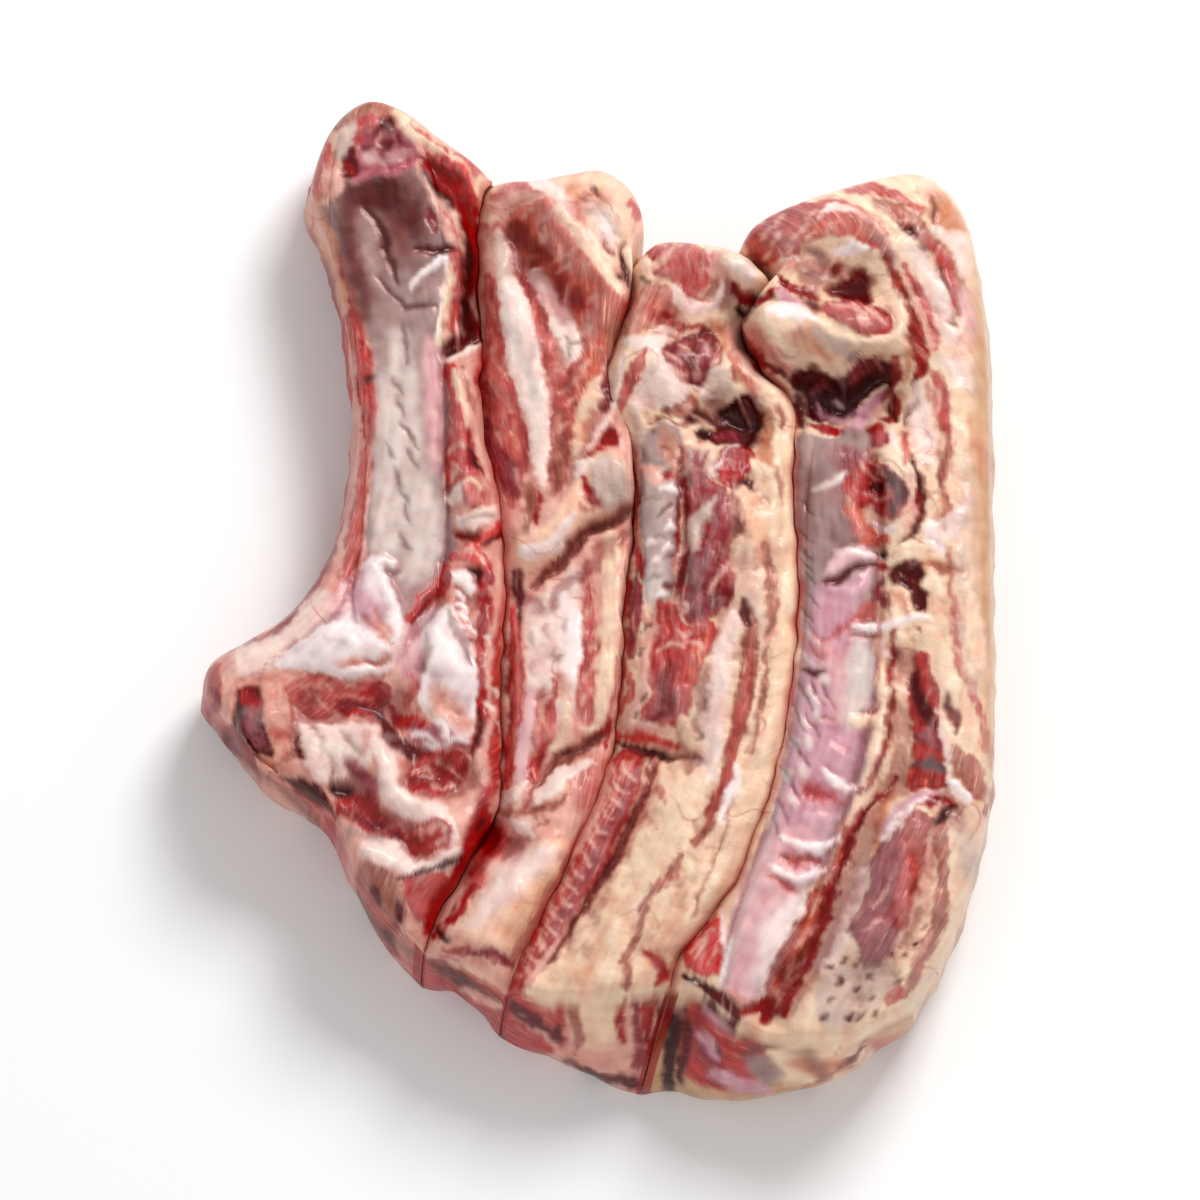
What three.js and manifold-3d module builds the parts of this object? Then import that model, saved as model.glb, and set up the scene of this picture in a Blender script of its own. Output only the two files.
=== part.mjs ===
// Raw pork ribs: one short rack, sliced between the bones by three knife cuts.
// The four cuts still lie side by side on their flat undersides, so they keep the rack's shape.
// Units are millimetres. In plan, +X runs across the cuts to the rind, +Y runs up to the rib tips.

import * as THREE from 'three';
import { mergeVertices } from 'three/addons/utils/BufferGeometryUtils.js';
import Module from 'manifold-3d';

const wasm = await Module();
wasm.setup();

// ---- Driving dimensions ----

const KNIFE_GAP = 0.9;        // open width of a knife cut between two neighbours
const BONE_GAP = 0.35;        // air left round a bone in its bed
const CLEFT_ROUND = 6;        // how far in from a knife cut the top starts to round over
const CLEFT_DROP = 6;         // how far the top has rounded down at a knife cut
const END_ROUND = 9;          // the same at the free ends and outer sides
const END_DROP = 9;
const SKIN_BULGE = 1.8;       // how far an outer side swells past its rim
const FOOT_TUCK = 2.5;        // how far an outer side tucks in again at the board
const WALL_LEAN = 0.6;        // how far a knife cut's wall leans back towards the board
const LUMPS = 0.8;            // how far the flesh's small lumps stand above its crown
const BARE_SHARE = 0.8;       // share of a bone's half width that lies bare of flesh
const SEAT_DEPTH = 0.7;       // how far the flesh lies below a bone's upper face there
const SEAT_SLOPE = 1.1;       // how steeply the flesh climbs again beside a bone
const WALL_RINGS = 4;         // rows of faces down every side
const ROWS = 42;              // rows of faces from rib tip to chine
const BONE_SIDES = 12;
const BONE_STEP = 6.5;        // length of one row of faces along a bone

// ---- Lines of the plan, each from the rib tips down to the chine ends ----

const LEFT_SIDE = [[-66.5, 100.5], [-67, 93.5], [-62, 80], [-58, 62], [-56.2, 42], [-57.5, 24], [-62, 8.5],
  [-70, -3.8], [-80, -10.8], [-88, -15.8], [-90, -23]];
const KNIFE_1 = [[-25, 100], [-28, 89], [-27.3, 61], [-26.5, 37], [-23, 21], [-21.5, 0], [-22.5, -20],
  [-22.5, -42], [-24, -54], [-30, -65], [-37, -77], [-39.5, -84]];
const KNIFE_2 = [[9, 80.5], [6.8, 75], [7, 69], [2.5, 55], [1.5, 42], [7, 30], [7.8, 12], [5.5, -4],
  [5, -22], [2.5, -39], [-4, -58], [-14, -79], [-21, -94]];
const KNIFE_3 = [[31, 80.4], [37, 75.5], [39.5, 71], [34.5, 66], [32.5, 60.5], [37, 51.5], [44, 42], [44, 22],
  [45, -4], [42, -33], [36, -56], [30, -70], [18, -86], [15.5, -93]];
const RIND_SIDE = [[80, 95], [84.5, 85], [87.8, 64], [88.6, 40], [88.4, -32], [87, -52], [83.4, -67],
  [77.4, -85], [69.5, -98]];

// ---- Each cut: its two free ends, its crown heights and its lumps and folds ----
// crown: [left rim, middle, right rim] heights at even steps from tip end to chine end.
// folds: [height, width, [x, y] points]; a negative height is a crease, groove or hollow.
// slump: how far the foot of the chine end spreads past its rim, at its left and right corners.

const CUTS = [
  {
    name: 'chine_rib_cut', left: LEFT_SIDE, right: KNIFE_1, columns: 15,
    leftIsFree: true, rightIsFree: false, slump: [1, 3],
    tipEnd: [[-66.5, 100.5], [-62, 111], [-54, 117.2], [-46, 115], [-38, 109.5], [-31, 104.5], [-25, 100]],
    chineEnd: [[-90, -23], [-84, -31], [-75, -42.5], [-66, -47.5], [-60, -53], [-55.5, -63], [-49.5, -74],
      [-39.5, -84]],
    crown: [[27, 32, 31], [27, 30, 30], [27, 30, 31], [28, 31, 33], [30, 35, 34], [29, 34, 31]],
    folds: [
      [-5, 5, [[-42, 101], [-35, 96], [-31, 88], [-30, 70], [-31, 58]]],
      [3, 5, [[-32, 50], [-32, 35], [-31, 20]]],
      [3, 6, [[-60, -15], [-47, -15]]],
      [3, 5, [[-37, -12], [-32, -22]]],
      [-3, 5, [[-66, -29], [-52, -28]]],
      [-4, 6, [[-46, -33], [-40, -44], [-33, -46]]],
      [3, 6, [[-49, -38], [-46, -50], [-38, -55]]],
      [-4, 5, [[-57, -47], [-50, -56], [-41, -63]]],
      [4, 6, [[-53, -62], [-43, -66], [-31, -62]]],
    ],
  },
  {
    name: 'second_rib_cut', left: KNIFE_1, right: KNIFE_2, columns: 11,
    leftIsFree: false, rightIsFree: false, slump: [3, 5],
    tipEnd: [[-25, 100], [-15, 98.6], [-7, 99.8], [0, 100.6], [5.5, 97.5], [9, 92], [10, 86], [9, 80.5]],
    chineEnd: [[-39.5, -84], [-30, -87.5], [-21, -94]],
    crown: [[28, 33, 32], [28, 32, 33], [30, 33, 34], [31, 34, 34], [32, 35, 34], [30, 34, 32]],
    folds: [
      [-5, 6, [[-20, 84], [-16, 76], [-8, 68]]],
      [4, 6, [[-12, 91], [-4, 80], [3, 66]]],
      [4, 7, [[3, 27], [-4, 20], [-12, 13], [-17, 10]]],
      [-4, 6, [[6, 14], [-2, 8], [-9, 1], [-14, -3]]],
      [-3, 5, [[2, -36], [-6, -40], [-12, -42]]],
      [-4, 5, [[-26, -58], [-20, -61]]],
      [3, 8, [[-12, -66], [-24, -81]]],
    ],
  },
  {
    name: 'third_rib_cut', left: KNIFE_2, right: KNIFE_3, columns: 13,
    leftIsFree: false, rightIsFree: false, slump: [5, 20],
    tipEnd: [[9, 80.5], [14, 82.6], [22, 81.8], [31, 80.4]],
    chineEnd: [[-21, -94], [-10, -95.5], [4, -95.5], [15.5, -93]],
    crown: [[32, 36, 34], [34, 37, 35], [35, 37, 36], [35, 37, 37], [34, 37, 37], [33, 36, 34]],
    folds: [
      [4, 6, [[30, 74], [36, 71]]],
      [-5, 5, [[30, 66], [33, 59]]],
      [-3, 5, [[18, 60], [26, 60]]],
      [3, 6, [[9, 50], [17, 44]]],
      [-8, 7, [[27, 40], [34, 37]]],
      [3, 7, [[27, 16], [23, -5], [15, -25]]],
      [-5, 5, [[3, -38], [10, -39.5], [20, -41]]],
      [3, 5, [[4, -46], [-4, -62], [-11, -79], [-18, -92]]],
      [-4, 5, [[13, -46], [6, -62], [-3, -79], [-11, -91]]],
    ],
  },
  {
    name: 'rind_rib_cut', left: KNIFE_3, right: RIND_SIDE, columns: 17,
    leftIsFree: false, rightIsFree: true, slump: [20, 0],
    tipEnd: [[31, 80.4], [36, 86], [45, 90], [56, 93.6], [65, 96.4], [73, 97.6], [80, 95]],
    chineEnd: [[15.5, -93], [23, -95], [29, -100.5], [36, -104], [46, -105.5], [57, -105], [69.5, -98]],
    crown: [[34, 41, 37], [37, 39, 40], [37, 39, 41], [37, 40, 41], [37, 40, 40], [34, 37, 36]],
    folds: [
      [4, 8, [[42, 80], [55, 83], [66, 78]]],
      [-3, 6, [[50, 70], [61, 69]]],
      [5, 7, [[38, 60], [48, 58], [60, 58]]],
      [-10, 8, [[49, 44], [56, 42], [63, 45]]],
      [4, 6, [[65, 16], [67, 24]]],
      [3, 5, [[64, -28], [62, -44], [57, -55], [52, -68]]],
      [-5, 5, [[68, -20], [66, -44], [60, -56], [54, -70], [48, -86], [39, -101]]],
      [4, 7, [[69, -58], [65, -74], [61, -85]]],
      [-3, 5, [[67, -50], [79, -54]]],
    ],
  },
];

// ---- Bones: [x, y, top height, half width, half thickness] from end to end ----

const BONES = [
  {
    name: 'chine_rib_bone', dish: 1.8, cut: 'chine_rib_cut',
    line: [[-51, 108, 32, 9, 5], [-50, 96, 32, 12, 5], [-48.5, 80, 31.5, 12.5, 5], [-46.5, 60, 31, 10.5, 5],
      [-44.5, 36, 31, 9, 5], [-44.5, 14, 31.5, 9.5, 5], [-47, -4, 32.5, 9, 5], [-49, -14, 31, 5, 4]],
  },
  {
    name: 'chine_bone', dish: 0, cut: 'chine_rib_cut',
    line: [[-76.5, -20, 34, 3.5, 5], [-76.5, -27, 36, 6, 7], [-75, -35, 36, 6, 7], [-72, -43, 33, 3.5, 5]],
  },
  {
    name: 'third_rib_bone', dish: 0, cut: 'third_rib_cut',
    line: [[14, 37, 36, 3, 3.5], [14, 26, 38, 4.6, 4], [14, 8, 38.5, 4.8, 4], [13.5, -9, 37, 3, 4]],
  },
  {
    name: 'rind_rib_bone', dish: 0.6, cut: 'rind_rib_cut',
    line: [[55, 33, 36, 6, 4], [55, 18, 38.5, 8, 5], [54.5, -8, 39.5, 8.2, 5], [52.5, -30, 40, 8.5, 5],
      [47, -52, 40, 8.2, 5], [40.5, -72, 40, 7.5, 5], [34.5, -88, 39.5, 6.5, 5], [32, -98, 37, 4.5, 4]],
  },
];

// ---- Materials ----

const meat = (color) => new THREE.MeshStandardMaterial({ color, roughness: 0.42, metalness: 0 });
const FLESH = meat(0xc98a80);
const BONE = meat(0xd9c4bd);

// ---- Curves and small sums ----

const { clamp, lerp: mix } = THREE.MathUtils;
const vec = ([x, y]) => new THREE.Vector2(x, y);
const spline = (points) => new THREE.SplineCurve(points.map(vec));
const sum = (list) => list.reduce((a, b) => a + b, 0);

/** A smooth row of numbers, as a function of the share t from its first to its last. */
function smoothRow(values) {
  const line = spline(values.map((value, i) => [i, value]));
  return (t) => line.getPoint(t).y;
}

/** Moves a line of the plan sideways, to the right of its own direction if the distance is positive. */
function shifted(points, distance) {
  return points.map(([x, y], i) => {
    const [ax, ay] = points[Math.max(i - 1, 0)];
    const [bx, by] = points[Math.min(i + 1, points.length - 1)];
    const length = Math.hypot(bx - ax, by - ay);
    return [x - (by - ay) / length * distance, y + (bx - ax) / length * distance];
  });
}

/** Nearest place on the broken line through points: its distance from p, and its share of the way along. */
function nearestOn(points, p) {
  let nearest = { distance: Infinity, share: 0 };
  for (let i = 1; i < points.length; i += 1) {
    const [ax, ay] = points[i - 1];
    const [dx, dy] = [points[i][0] - ax, points[i][1] - ay];
    const t = clamp(((p.x - ax) * dx + (p.y - ay) * dy) / (dx * dx + dy * dy), 0, 1);
    const distance = Math.hypot(p.x - ax - t * dx, p.y - ay - t * dy);
    if (distance < nearest.distance) nearest = { distance, share: (i - 1 + t) / (points.length - 1) };
  }
  return nearest;
}

/** A quarter-round shoulder: 0 from `round` inwards, growing to `drop` at the edge itself. */
function shoulder(inset, round, drop) {
  const reach = clamp(1 - inset / round, 0, 1);
  return drop * (1 - Math.sqrt(1 - reach * reach * 0.98));
}

/** Shares from 0 to 1 that lie closer together towards both ends, where the top rounds over. */
function shares(count) {
  const even = Array.from({ length: count + 1 }, (_, i) => i / count);
  return even.map((t) => mix(t, (1 - Math.cos(Math.PI * t)) / 2, 0.6));
}

// ---- One cut of ribs ----

/** Plan of a cut as a patch between its four edges: (u, v) runs from tip end left to chine end right. */
function planOf(cut) {
  const half = KNIFE_GAP / 2;
  const leftLine = cut.leftIsFree ? cut.left : shifted(cut.left, half);
  const rightLine = cut.rightIsFree ? cut.right : shifted(cut.right, -half);
  const ends = [cut.tipEnd, cut.chineEnd].map((points, k) => {
    const at = k === 0 ? 0 : -1;
    return [leftLine.at(at), ...points.slice(1, -1), rightLine.at(at)];
  });
  const left = spline(leftLine);
  const right = spline(rightLine);
  const [tip, chine] = ends.map(spline);
  return (u, v) => {
    const [l, r, t, c] = [left.getPointAt(v), right.getPointAt(v), tip.getPointAt(u), chine.getPointAt(u)];
    const corner = (a, b) => (a ? chine : tip).getPointAt(b);
    const blend = (axis) => mix(t[axis], c[axis], v) + mix(l[axis], r[axis], u)
      - mix(mix(corner(0, 0)[axis], corner(0, 1)[axis], u), mix(corner(1, 0)[axis], corner(1, 1)[axis], u), v);
    return new THREE.Vector2(blend('x'), blend('y'));
  };
}

/** Drop of a bone's oval upper face below its top height, at a sine of the angle round the oval. */
function faceDrop(bone, halfDepth, sine) {
  return halfDepth * (1 - sine) + bone.dish * Math.max(sine, 0) ** 3;
}

/** Height that the flesh may reach at p, so that a bone lies bare in its seat. */
function seatHeight(bone, p) {
  const { distance, share } = nearestOn(bone.line, p);
  const [top, halfWidth, halfDepth] = [2, 3, 4].map((k) => smoothRow(bone.line.map((row) => row[k]))(share));
  const across = Math.min(distance / halfWidth, BARE_SHARE);
  const climb = Math.max(distance - BARE_SHARE * halfWidth, 0) * SEAT_SLOPE;
  return top - faceDrop(bone, halfDepth, Math.sqrt(1 - across ** 2)) - SEAT_DEPTH + climb;
}

/** Height of the top of a cut: its crown, its rounded edges, its folds and hollows, and its bones' seats. */
function topOf(cut, bones, plan) {
  const crowns = [0, 1, 2].map((k) => smoothRow(cut.crown.map((row) => row[k])));
  const side = (free) => (free ? [END_ROUND, END_DROP] : [CLEFT_ROUND, CLEFT_DROP]);
  return (u, v) => {
    const p = plan(u, v);
    const [l, m, r] = crowns.map((crown) => crown(v));
    const crown = l * (1 - u) * (1 - 2 * u) + 4 * m * u * (1 - u) + r * u * (2 * u - 1);
    const width = plan(0, v).distanceTo(plan(1, v));
    const length = plan(u, 0).distanceTo(plan(u, 1));
    const edges = sum([
      shoulder(u * width, ...side(cut.leftIsFree)),
      shoulder((1 - u) * width, ...side(cut.rightIsFree)),
      shoulder(v * length, END_ROUND, END_DROP),
      shoulder((1 - v) * length, END_ROUND / 2, END_DROP / 3),
    ]);
    const folds = cut.folds.map(([height, reach, points]) => (
      height * Math.exp(-((nearestOn(points, p).distance / reach) ** 2))));
    const flesh = crown + LUMPS - Math.min(edges, END_DROP * 1.3) + sum(folds);
    return Math.min(flesh, ...bones.map((bone) => seatHeight(bone, p)));
  };
}

/** 1 round the free sides and ends of a cut, falling to 0 at a knife cut. */
function swellAt(cut, u) {
  const fromLeft = cut.leftIsFree ? 1 : 3 * u;
  const fromRight = cut.rightIsFree ? 1 : 3 * (1 - u);
  return clamp(Math.min(fromLeft, fromRight), 0, 1) ** 2;
}

/** How far a side stands out past its rim at share f of the way down to the board. */
function sideOutline(f, swell) {
  return mix(-WALL_LEAN * f, SKIN_BULGE * Math.sin(Math.PI * f) - FOOT_TUCK * f ** 3, swell);
}

/** How far the foot of the chine end spreads, in the direction of the two sides that it lies between. */
function slumpAt(cut, u) {
  const [left, right] = [cut.left, cut.right].map((side) => vec(side.at(-1)).sub(vec(side.at(-2))).normalize());
  return left.lerp(right, u).normalize().multiplyScalar(mix(...cut.slump, u));
}

/** The closed surface of a cut: top, four sides down to the board, and a flat underside. */
function cutGeometry(cut, bones) {
  const plan = planOf(cut);
  const top = topOf(cut, bones, plan);
  const points = [];
  const faces = [];
  const { columns } = cut;
  const add = (x, y, z) => points.push([x, y, z]) - 1;
  const quad = (a, b, c, d) => faces.push([a, b, c], [a, c, d]);

  const grid = shares(ROWS).map((v) => shares(columns).map((u) => {
    const p = plan(u, v);
    return add(p.x, p.y, top(u, v));
  }));
  for (let j = 0; j < ROWS; j += 1) {
    for (let i = 0; i < columns; i += 1) {
      quad(grid[j][i], grid[j + 1][i], grid[j + 1][i + 1], grid[j][i + 1]);
    }
  }

  // The rim, anticlockwise from above: down the left side, along the chine end, up the right, back along the tips.
  const still = new THREE.Vector2();
  const rim = [];
  const rimPoint = (j, i, slump) => rim.push({ at: grid[j][i], swell: swellAt(cut, i / columns), slump });
  for (let j = 0; j < ROWS; j += 1) rimPoint(j, 0, still);
  for (let i = 0; i <= columns; i += 1) rimPoint(ROWS, i, slumpAt(cut, i / columns));
  for (let j = ROWS - 1; j >= 0; j -= 1) rimPoint(j, columns, still);
  for (let i = columns - 1; i > 0; i -= 1) rimPoint(0, i, still);

  const rings = [rim.map(({ at }) => at)];
  for (let ring = 1; ring <= WALL_RINGS; ring += 1) {
    const f = ring / WALL_RINGS;
    rings.push(rim.map(({ at, swell, slump }, k) => {
      const before = points[rim[(k + rim.length - 1) % rim.length].at];
      const after = points[rim[(k + 1) % rim.length].at];
      const [dx, dy] = [after[0] - before[0], after[1] - before[1]];
      const out = sideOutline(f, swell) / Math.hypot(dx, dy);
      const spread = Math.sin(f * Math.PI / 2);
      const [x, y, z] = points[at];
      return add(x + dy * out + slump.x * spread, y - dx * out + slump.y * spread, z * (1 - f));
    }));
  }
  for (let ring = 0; ring < WALL_RINGS; ring += 1) {
    rim.forEach((_, k) => {
      const next = (k + 1) % rim.length;
      quad(rings[ring][k], rings[ring + 1][k], rings[ring + 1][next], rings[ring][next]);
    });
  }
  const foot = rings[WALL_RINGS];
  const outline = foot.map((k) => new THREE.Vector2(points[k][0], points[k][1]));
  THREE.ShapeUtils.triangulateShape(outline, []).forEach(([a, b, c]) => {
    faces.push([foot[a], foot[c], foot[b]]);
  });
  return geometryOf(points, faces);
}

// ---- One bone: an oval tube with blunt ends, its upper face dished if the real one is ----

function boneGeometry(bone, grow) {
  const [x, y, top, halfWidth, halfDepth] = [0, 1, 2, 3, 4].map((k) => smoothRow(bone.line.map((row) => row[k])));
  const points = [];
  const faces = [];
  const add = (...at) => points.push(at) - 1;
  const centre = (t) => new THREE.Vector2(x(t), y(t));
  const rows = Math.round(spline(bone.line).getLength() / BONE_STEP);
  const rings = [];
  for (let row = 0; row <= rows; row += 1) {
    const t = row / rows;
    const c = centre(t);
    const ahead = centre(Math.min(t + 0.01, 1)).sub(centre(Math.max(t - 0.01, 0))).normalize();
    const stretch = (t - 0.5) * 2 * grow;
    const ring = [];
    for (let k = 0; k < BONE_SIDES; k += 1) {
      const angle = (k / BONE_SIDES) * 2 * Math.PI;
      const across = Math.cos(angle) * (halfWidth(t) + grow);
      const z = top(t) - faceDrop(bone, halfDepth(t), Math.sin(angle)) + Math.sin(angle) * grow;
      ring.push(add(c.x - ahead.y * across + ahead.x * stretch, c.y + ahead.x * across + ahead.y * stretch, z));
    }
    rings.push(ring);
  }
  for (let row = 0; row < rows; row += 1) {
    for (let k = 0; k < BONE_SIDES; k += 1) {
      const next = (k + 1) % BONE_SIDES;
      faces.push([rings[row][k], rings[row][next], rings[row + 1][next]]);
      faces.push([rings[row][k], rings[row + 1][next], rings[row + 1][k]]);
    }
  }
  for (let k = 1; k < BONE_SIDES - 1; k += 1) {
    faces.push([rings[0][0], rings[0][k + 1], rings[0][k]]);
    faces.push([rings[rows][0], rings[rows][k], rings[rows][k + 1]]);
  }
  return geometryOf(points, faces);
}

// ---- Between three.js geometry and solids ----

function geometryOf(points, faces) {
  const geometry = new THREE.BufferGeometry();
  geometry.setAttribute('position', new THREE.Float32BufferAttribute(points.flat(), 3));
  geometry.setIndex(faces.flat());
  return mergeVertices(geometry, 1e-4);
}

function solidOf(geometry) {
  return new wasm.Manifold(new wasm.Mesh({
    numProp: 3,
    vertProperties: new Float32Array(geometry.attributes.position.array),
    triVerts: new Uint32Array(geometry.index.array),
  }));
}

function geometryFrom(solid) {
  const mesh = solid.getMesh();
  const geometry = new THREE.BufferGeometry();
  geometry.setAttribute('position', new THREE.BufferAttribute(mesh.vertProperties, 3));
  geometry.setIndex(new THREE.BufferAttribute(mesh.triVerts, 1));
  geometry.computeVertexNormals();
  return geometry;
}

function named(name, geometry, material) {
  const mesh = new THREE.Mesh(geometry, material);
  mesh.name = name;
  return mesh;
}

// ---- The rack ----

const rack = new THREE.Group();
for (const cut of CUTS) {
  const bones = BONES.filter((bone) => bone.cut === cut.name);
  const flesh = bones.reduce(
    (solid, bone) => solid.subtract(solidOf(boneGeometry(bone, BONE_GAP))),
    solidOf(cutGeometry(cut, bones)),
  );
  const largest = flesh.decompose().sort((a, b) => b.volume() - a.volume())[0];
  rack.add(named(cut.name, geometryFrom(largest), FLESH));
}
for (const bone of BONES) rack.add(named(bone.name, boneGeometry(bone, 0), BONE));

// The origin is under the middle of the rack, on the board.
const box = new THREE.Box3().setFromObject(rack);
rack.children.forEach((mesh) => {
  mesh.position.set(-(box.min.x + box.max.x) / 2, -(box.min.y + box.max.y) / 2, -box.min.z);
});

export default rack;
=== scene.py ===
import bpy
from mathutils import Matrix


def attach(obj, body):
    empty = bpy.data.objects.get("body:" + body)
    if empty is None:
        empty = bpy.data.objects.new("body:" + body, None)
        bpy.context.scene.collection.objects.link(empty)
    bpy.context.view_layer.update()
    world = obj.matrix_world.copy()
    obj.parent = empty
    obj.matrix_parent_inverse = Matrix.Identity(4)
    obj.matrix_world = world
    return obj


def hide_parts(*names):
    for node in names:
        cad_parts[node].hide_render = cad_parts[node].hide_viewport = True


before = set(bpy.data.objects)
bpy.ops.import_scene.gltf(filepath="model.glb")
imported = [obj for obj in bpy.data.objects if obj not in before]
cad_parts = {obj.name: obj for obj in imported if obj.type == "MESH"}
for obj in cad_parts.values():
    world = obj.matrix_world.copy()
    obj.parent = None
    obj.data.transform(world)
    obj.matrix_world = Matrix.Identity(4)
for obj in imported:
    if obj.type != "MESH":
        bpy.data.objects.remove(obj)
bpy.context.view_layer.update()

import math

import bpy
import numpy as np
from mathutils import Vector
from mathutils.bvhtree import BVHTree
from mathutils.geometry import tessellate_polygon


# ======== Camera ========
# The rack is seen from its chine end, fifteen degrees off straight down, through a long lens.
# Tissues are laid on as seen from there: READ_HEIGHT is the height at which plan and view agree.

MM = 0.001
PLAN_SHIFT = (0.719, -2.272)  # from the plan to the model's origin, under the rack's middle
READ_HEIGHT = 36
CAMERA_TILT = math.radians(15)
FOCAL_LENGTH, SENSOR = 250, 36
VIEW_WIDTH = 270
VIEW_CENTRE = (0, -4.87)

aim = Vector((VIEW_CENTRE[0] + PLAN_SHIFT[0], VIEW_CENTRE[1] + PLAN_SHIFT[1], READ_HEIGHT)) * MM
away = Vector((0, -math.sin(CAMERA_TILT), math.cos(CAMERA_TILT)))
lens = bpy.data.cameras.new("camera")
lens.lens = FOCAL_LENGTH
lens.clip_end = 10
camera = bpy.data.objects.new("camera", lens)
camera.location = aim + away * (VIEW_WIDTH * FOCAL_LENGTH / SENSOR * MM)
camera.rotation_euler = (CAMERA_TILT, 0, 0)
bpy.context.collection.objects.link(camera)
bpy.context.scene.camera = camera


# ======== First slice: the chine rib cut ========
# Flesh round the widest rib, which lies bare on top under a thin grey membrane. Chine muscles and
# fat close its lower end. It was sliced off along the first knife line and lies against the second.

# ---- Lines, distances and noise ----

def curve_through(points, per_span=8):
    """A smooth line through rows of numbers, with per_span steps between each two of them."""
    p = np.asarray(points, float)
    p = np.vstack([p[:1], p, p[-1:]])
    t = np.arange(per_span)[:, None] / per_span
    spans = [
        0.5 * (2 * b + (c - a) * t + (2 * a - 5 * b + 4 * c - d) * t ** 2 + (3 * b - a - 3 * c + d) * t ** 3)
        for a, b, c, d in zip(p, p[1:], p[2:], p[3:])
    ]
    return np.vstack(spans + [p[-1:]])


def at_shares(line, shares):
    """Places on a line at the given shares of its length."""
    steps = np.hypot(*np.diff(line[:, :2], axis=0).T)
    reach = np.concatenate([[0], np.cumsum(steps)]) / steps.sum()
    return np.stack([np.interp(shares, reach, column) for column in line.T], axis=-1)


def nearest_on(line, points):
    """Distance of each point from a line, and the line's other columns at the nearest place."""
    best = np.full(len(points), 1e9)
    found = np.zeros((len(points), line.shape[1] - 2))
    for a, b in zip(line, line[1:]):
        along = b[:2] - a[:2]
        t = np.clip((points - a[:2]) @ along / max(along @ along, 1e-9), 0, 1)
        gap = np.hypot(*(points - a[:2] - t[:, None] * along).T)
        closer = gap < best
        best[closer] = gap[closer]
        found[closer] = a[2:] + t[closer, None] * (b[2:] - a[2:])
    return best, found


def inside(outline, points):
    """True for the points that a closed outline goes round."""
    x, y = points.T
    within = np.zeros(len(points), bool)
    for (ax, ay), (bx, by) in zip(outline, np.roll(outline, -1, axis=0)):
        crosses = (ay > y) != (by > y)
        within ^= crosses & (x < (bx - ax) * (y - ay) / (by - ay + 1e-12) + ax)
    return within


def noise(x, y, size, seed):
    """Smooth noise from about -1 to 1 whose lumps are about `size` across."""
    x, y = np.asarray(x) / size, np.asarray(y) / size
    i, j = np.floor(x).astype(np.int64), np.floor(y).astype(np.int64)
    fx, fy = x - i, y - j

    def ease(f):
        return f * f * f * (f * (f * 6 - 15) + 10)

    def slope(di, dj):
        mixed = ((i + di) * 374761393 + (j + dj) * 668265263 + seed * 974634777) & 0xFFFFFFFF
        mixed = ((mixed ^ (mixed >> 13)) * 1274126177) & 0xFFFFFFFF
        angle = (mixed ^ (mixed >> 16)) * (2 * math.pi / 2 ** 32)
        return np.cos(angle) * (fx - di) + np.sin(angle) * (fy - dj)

    low = slope(0, 0) * (1 - ease(fx)) + slope(1, 0) * ease(fx)
    high = slope(0, 1) * (1 - ease(fx)) + slope(1, 1) * ease(fx)
    return (low * (1 - ease(fy)) + high * ease(fy)) * 1.5


def smooth_step(low, high, value):
    t = np.clip((value - low) / (high - low), 0, 1)
    return t * t * (3 - 2 * t)


# ---- Tissues: two tones, how fleshy, how skin-like, how ragged and how soft at the edge ----

COLOUR_DEPTH = (1.34, 1.44, 1.44)  # makes up for the paleness that gloss and soft light lend to a colour


def tone(red, green, blue):
    """A colour as seen, 0 to 255, as the share of light it gives back."""
    c = np.array([red, green, blue]) / 255
    return np.where(c <= 0.04045, c / 12.92, ((c + 0.055) / 1.055) ** 2.4) ** COLOUR_DEPTH


VEIN_RED, THREAD_PALE = tone(170, 66, 64), tone(226, 170, 156)
JUICE_RED, CUT_RED = tone(190, 26, 24), tone(170, 24, 24)

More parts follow.
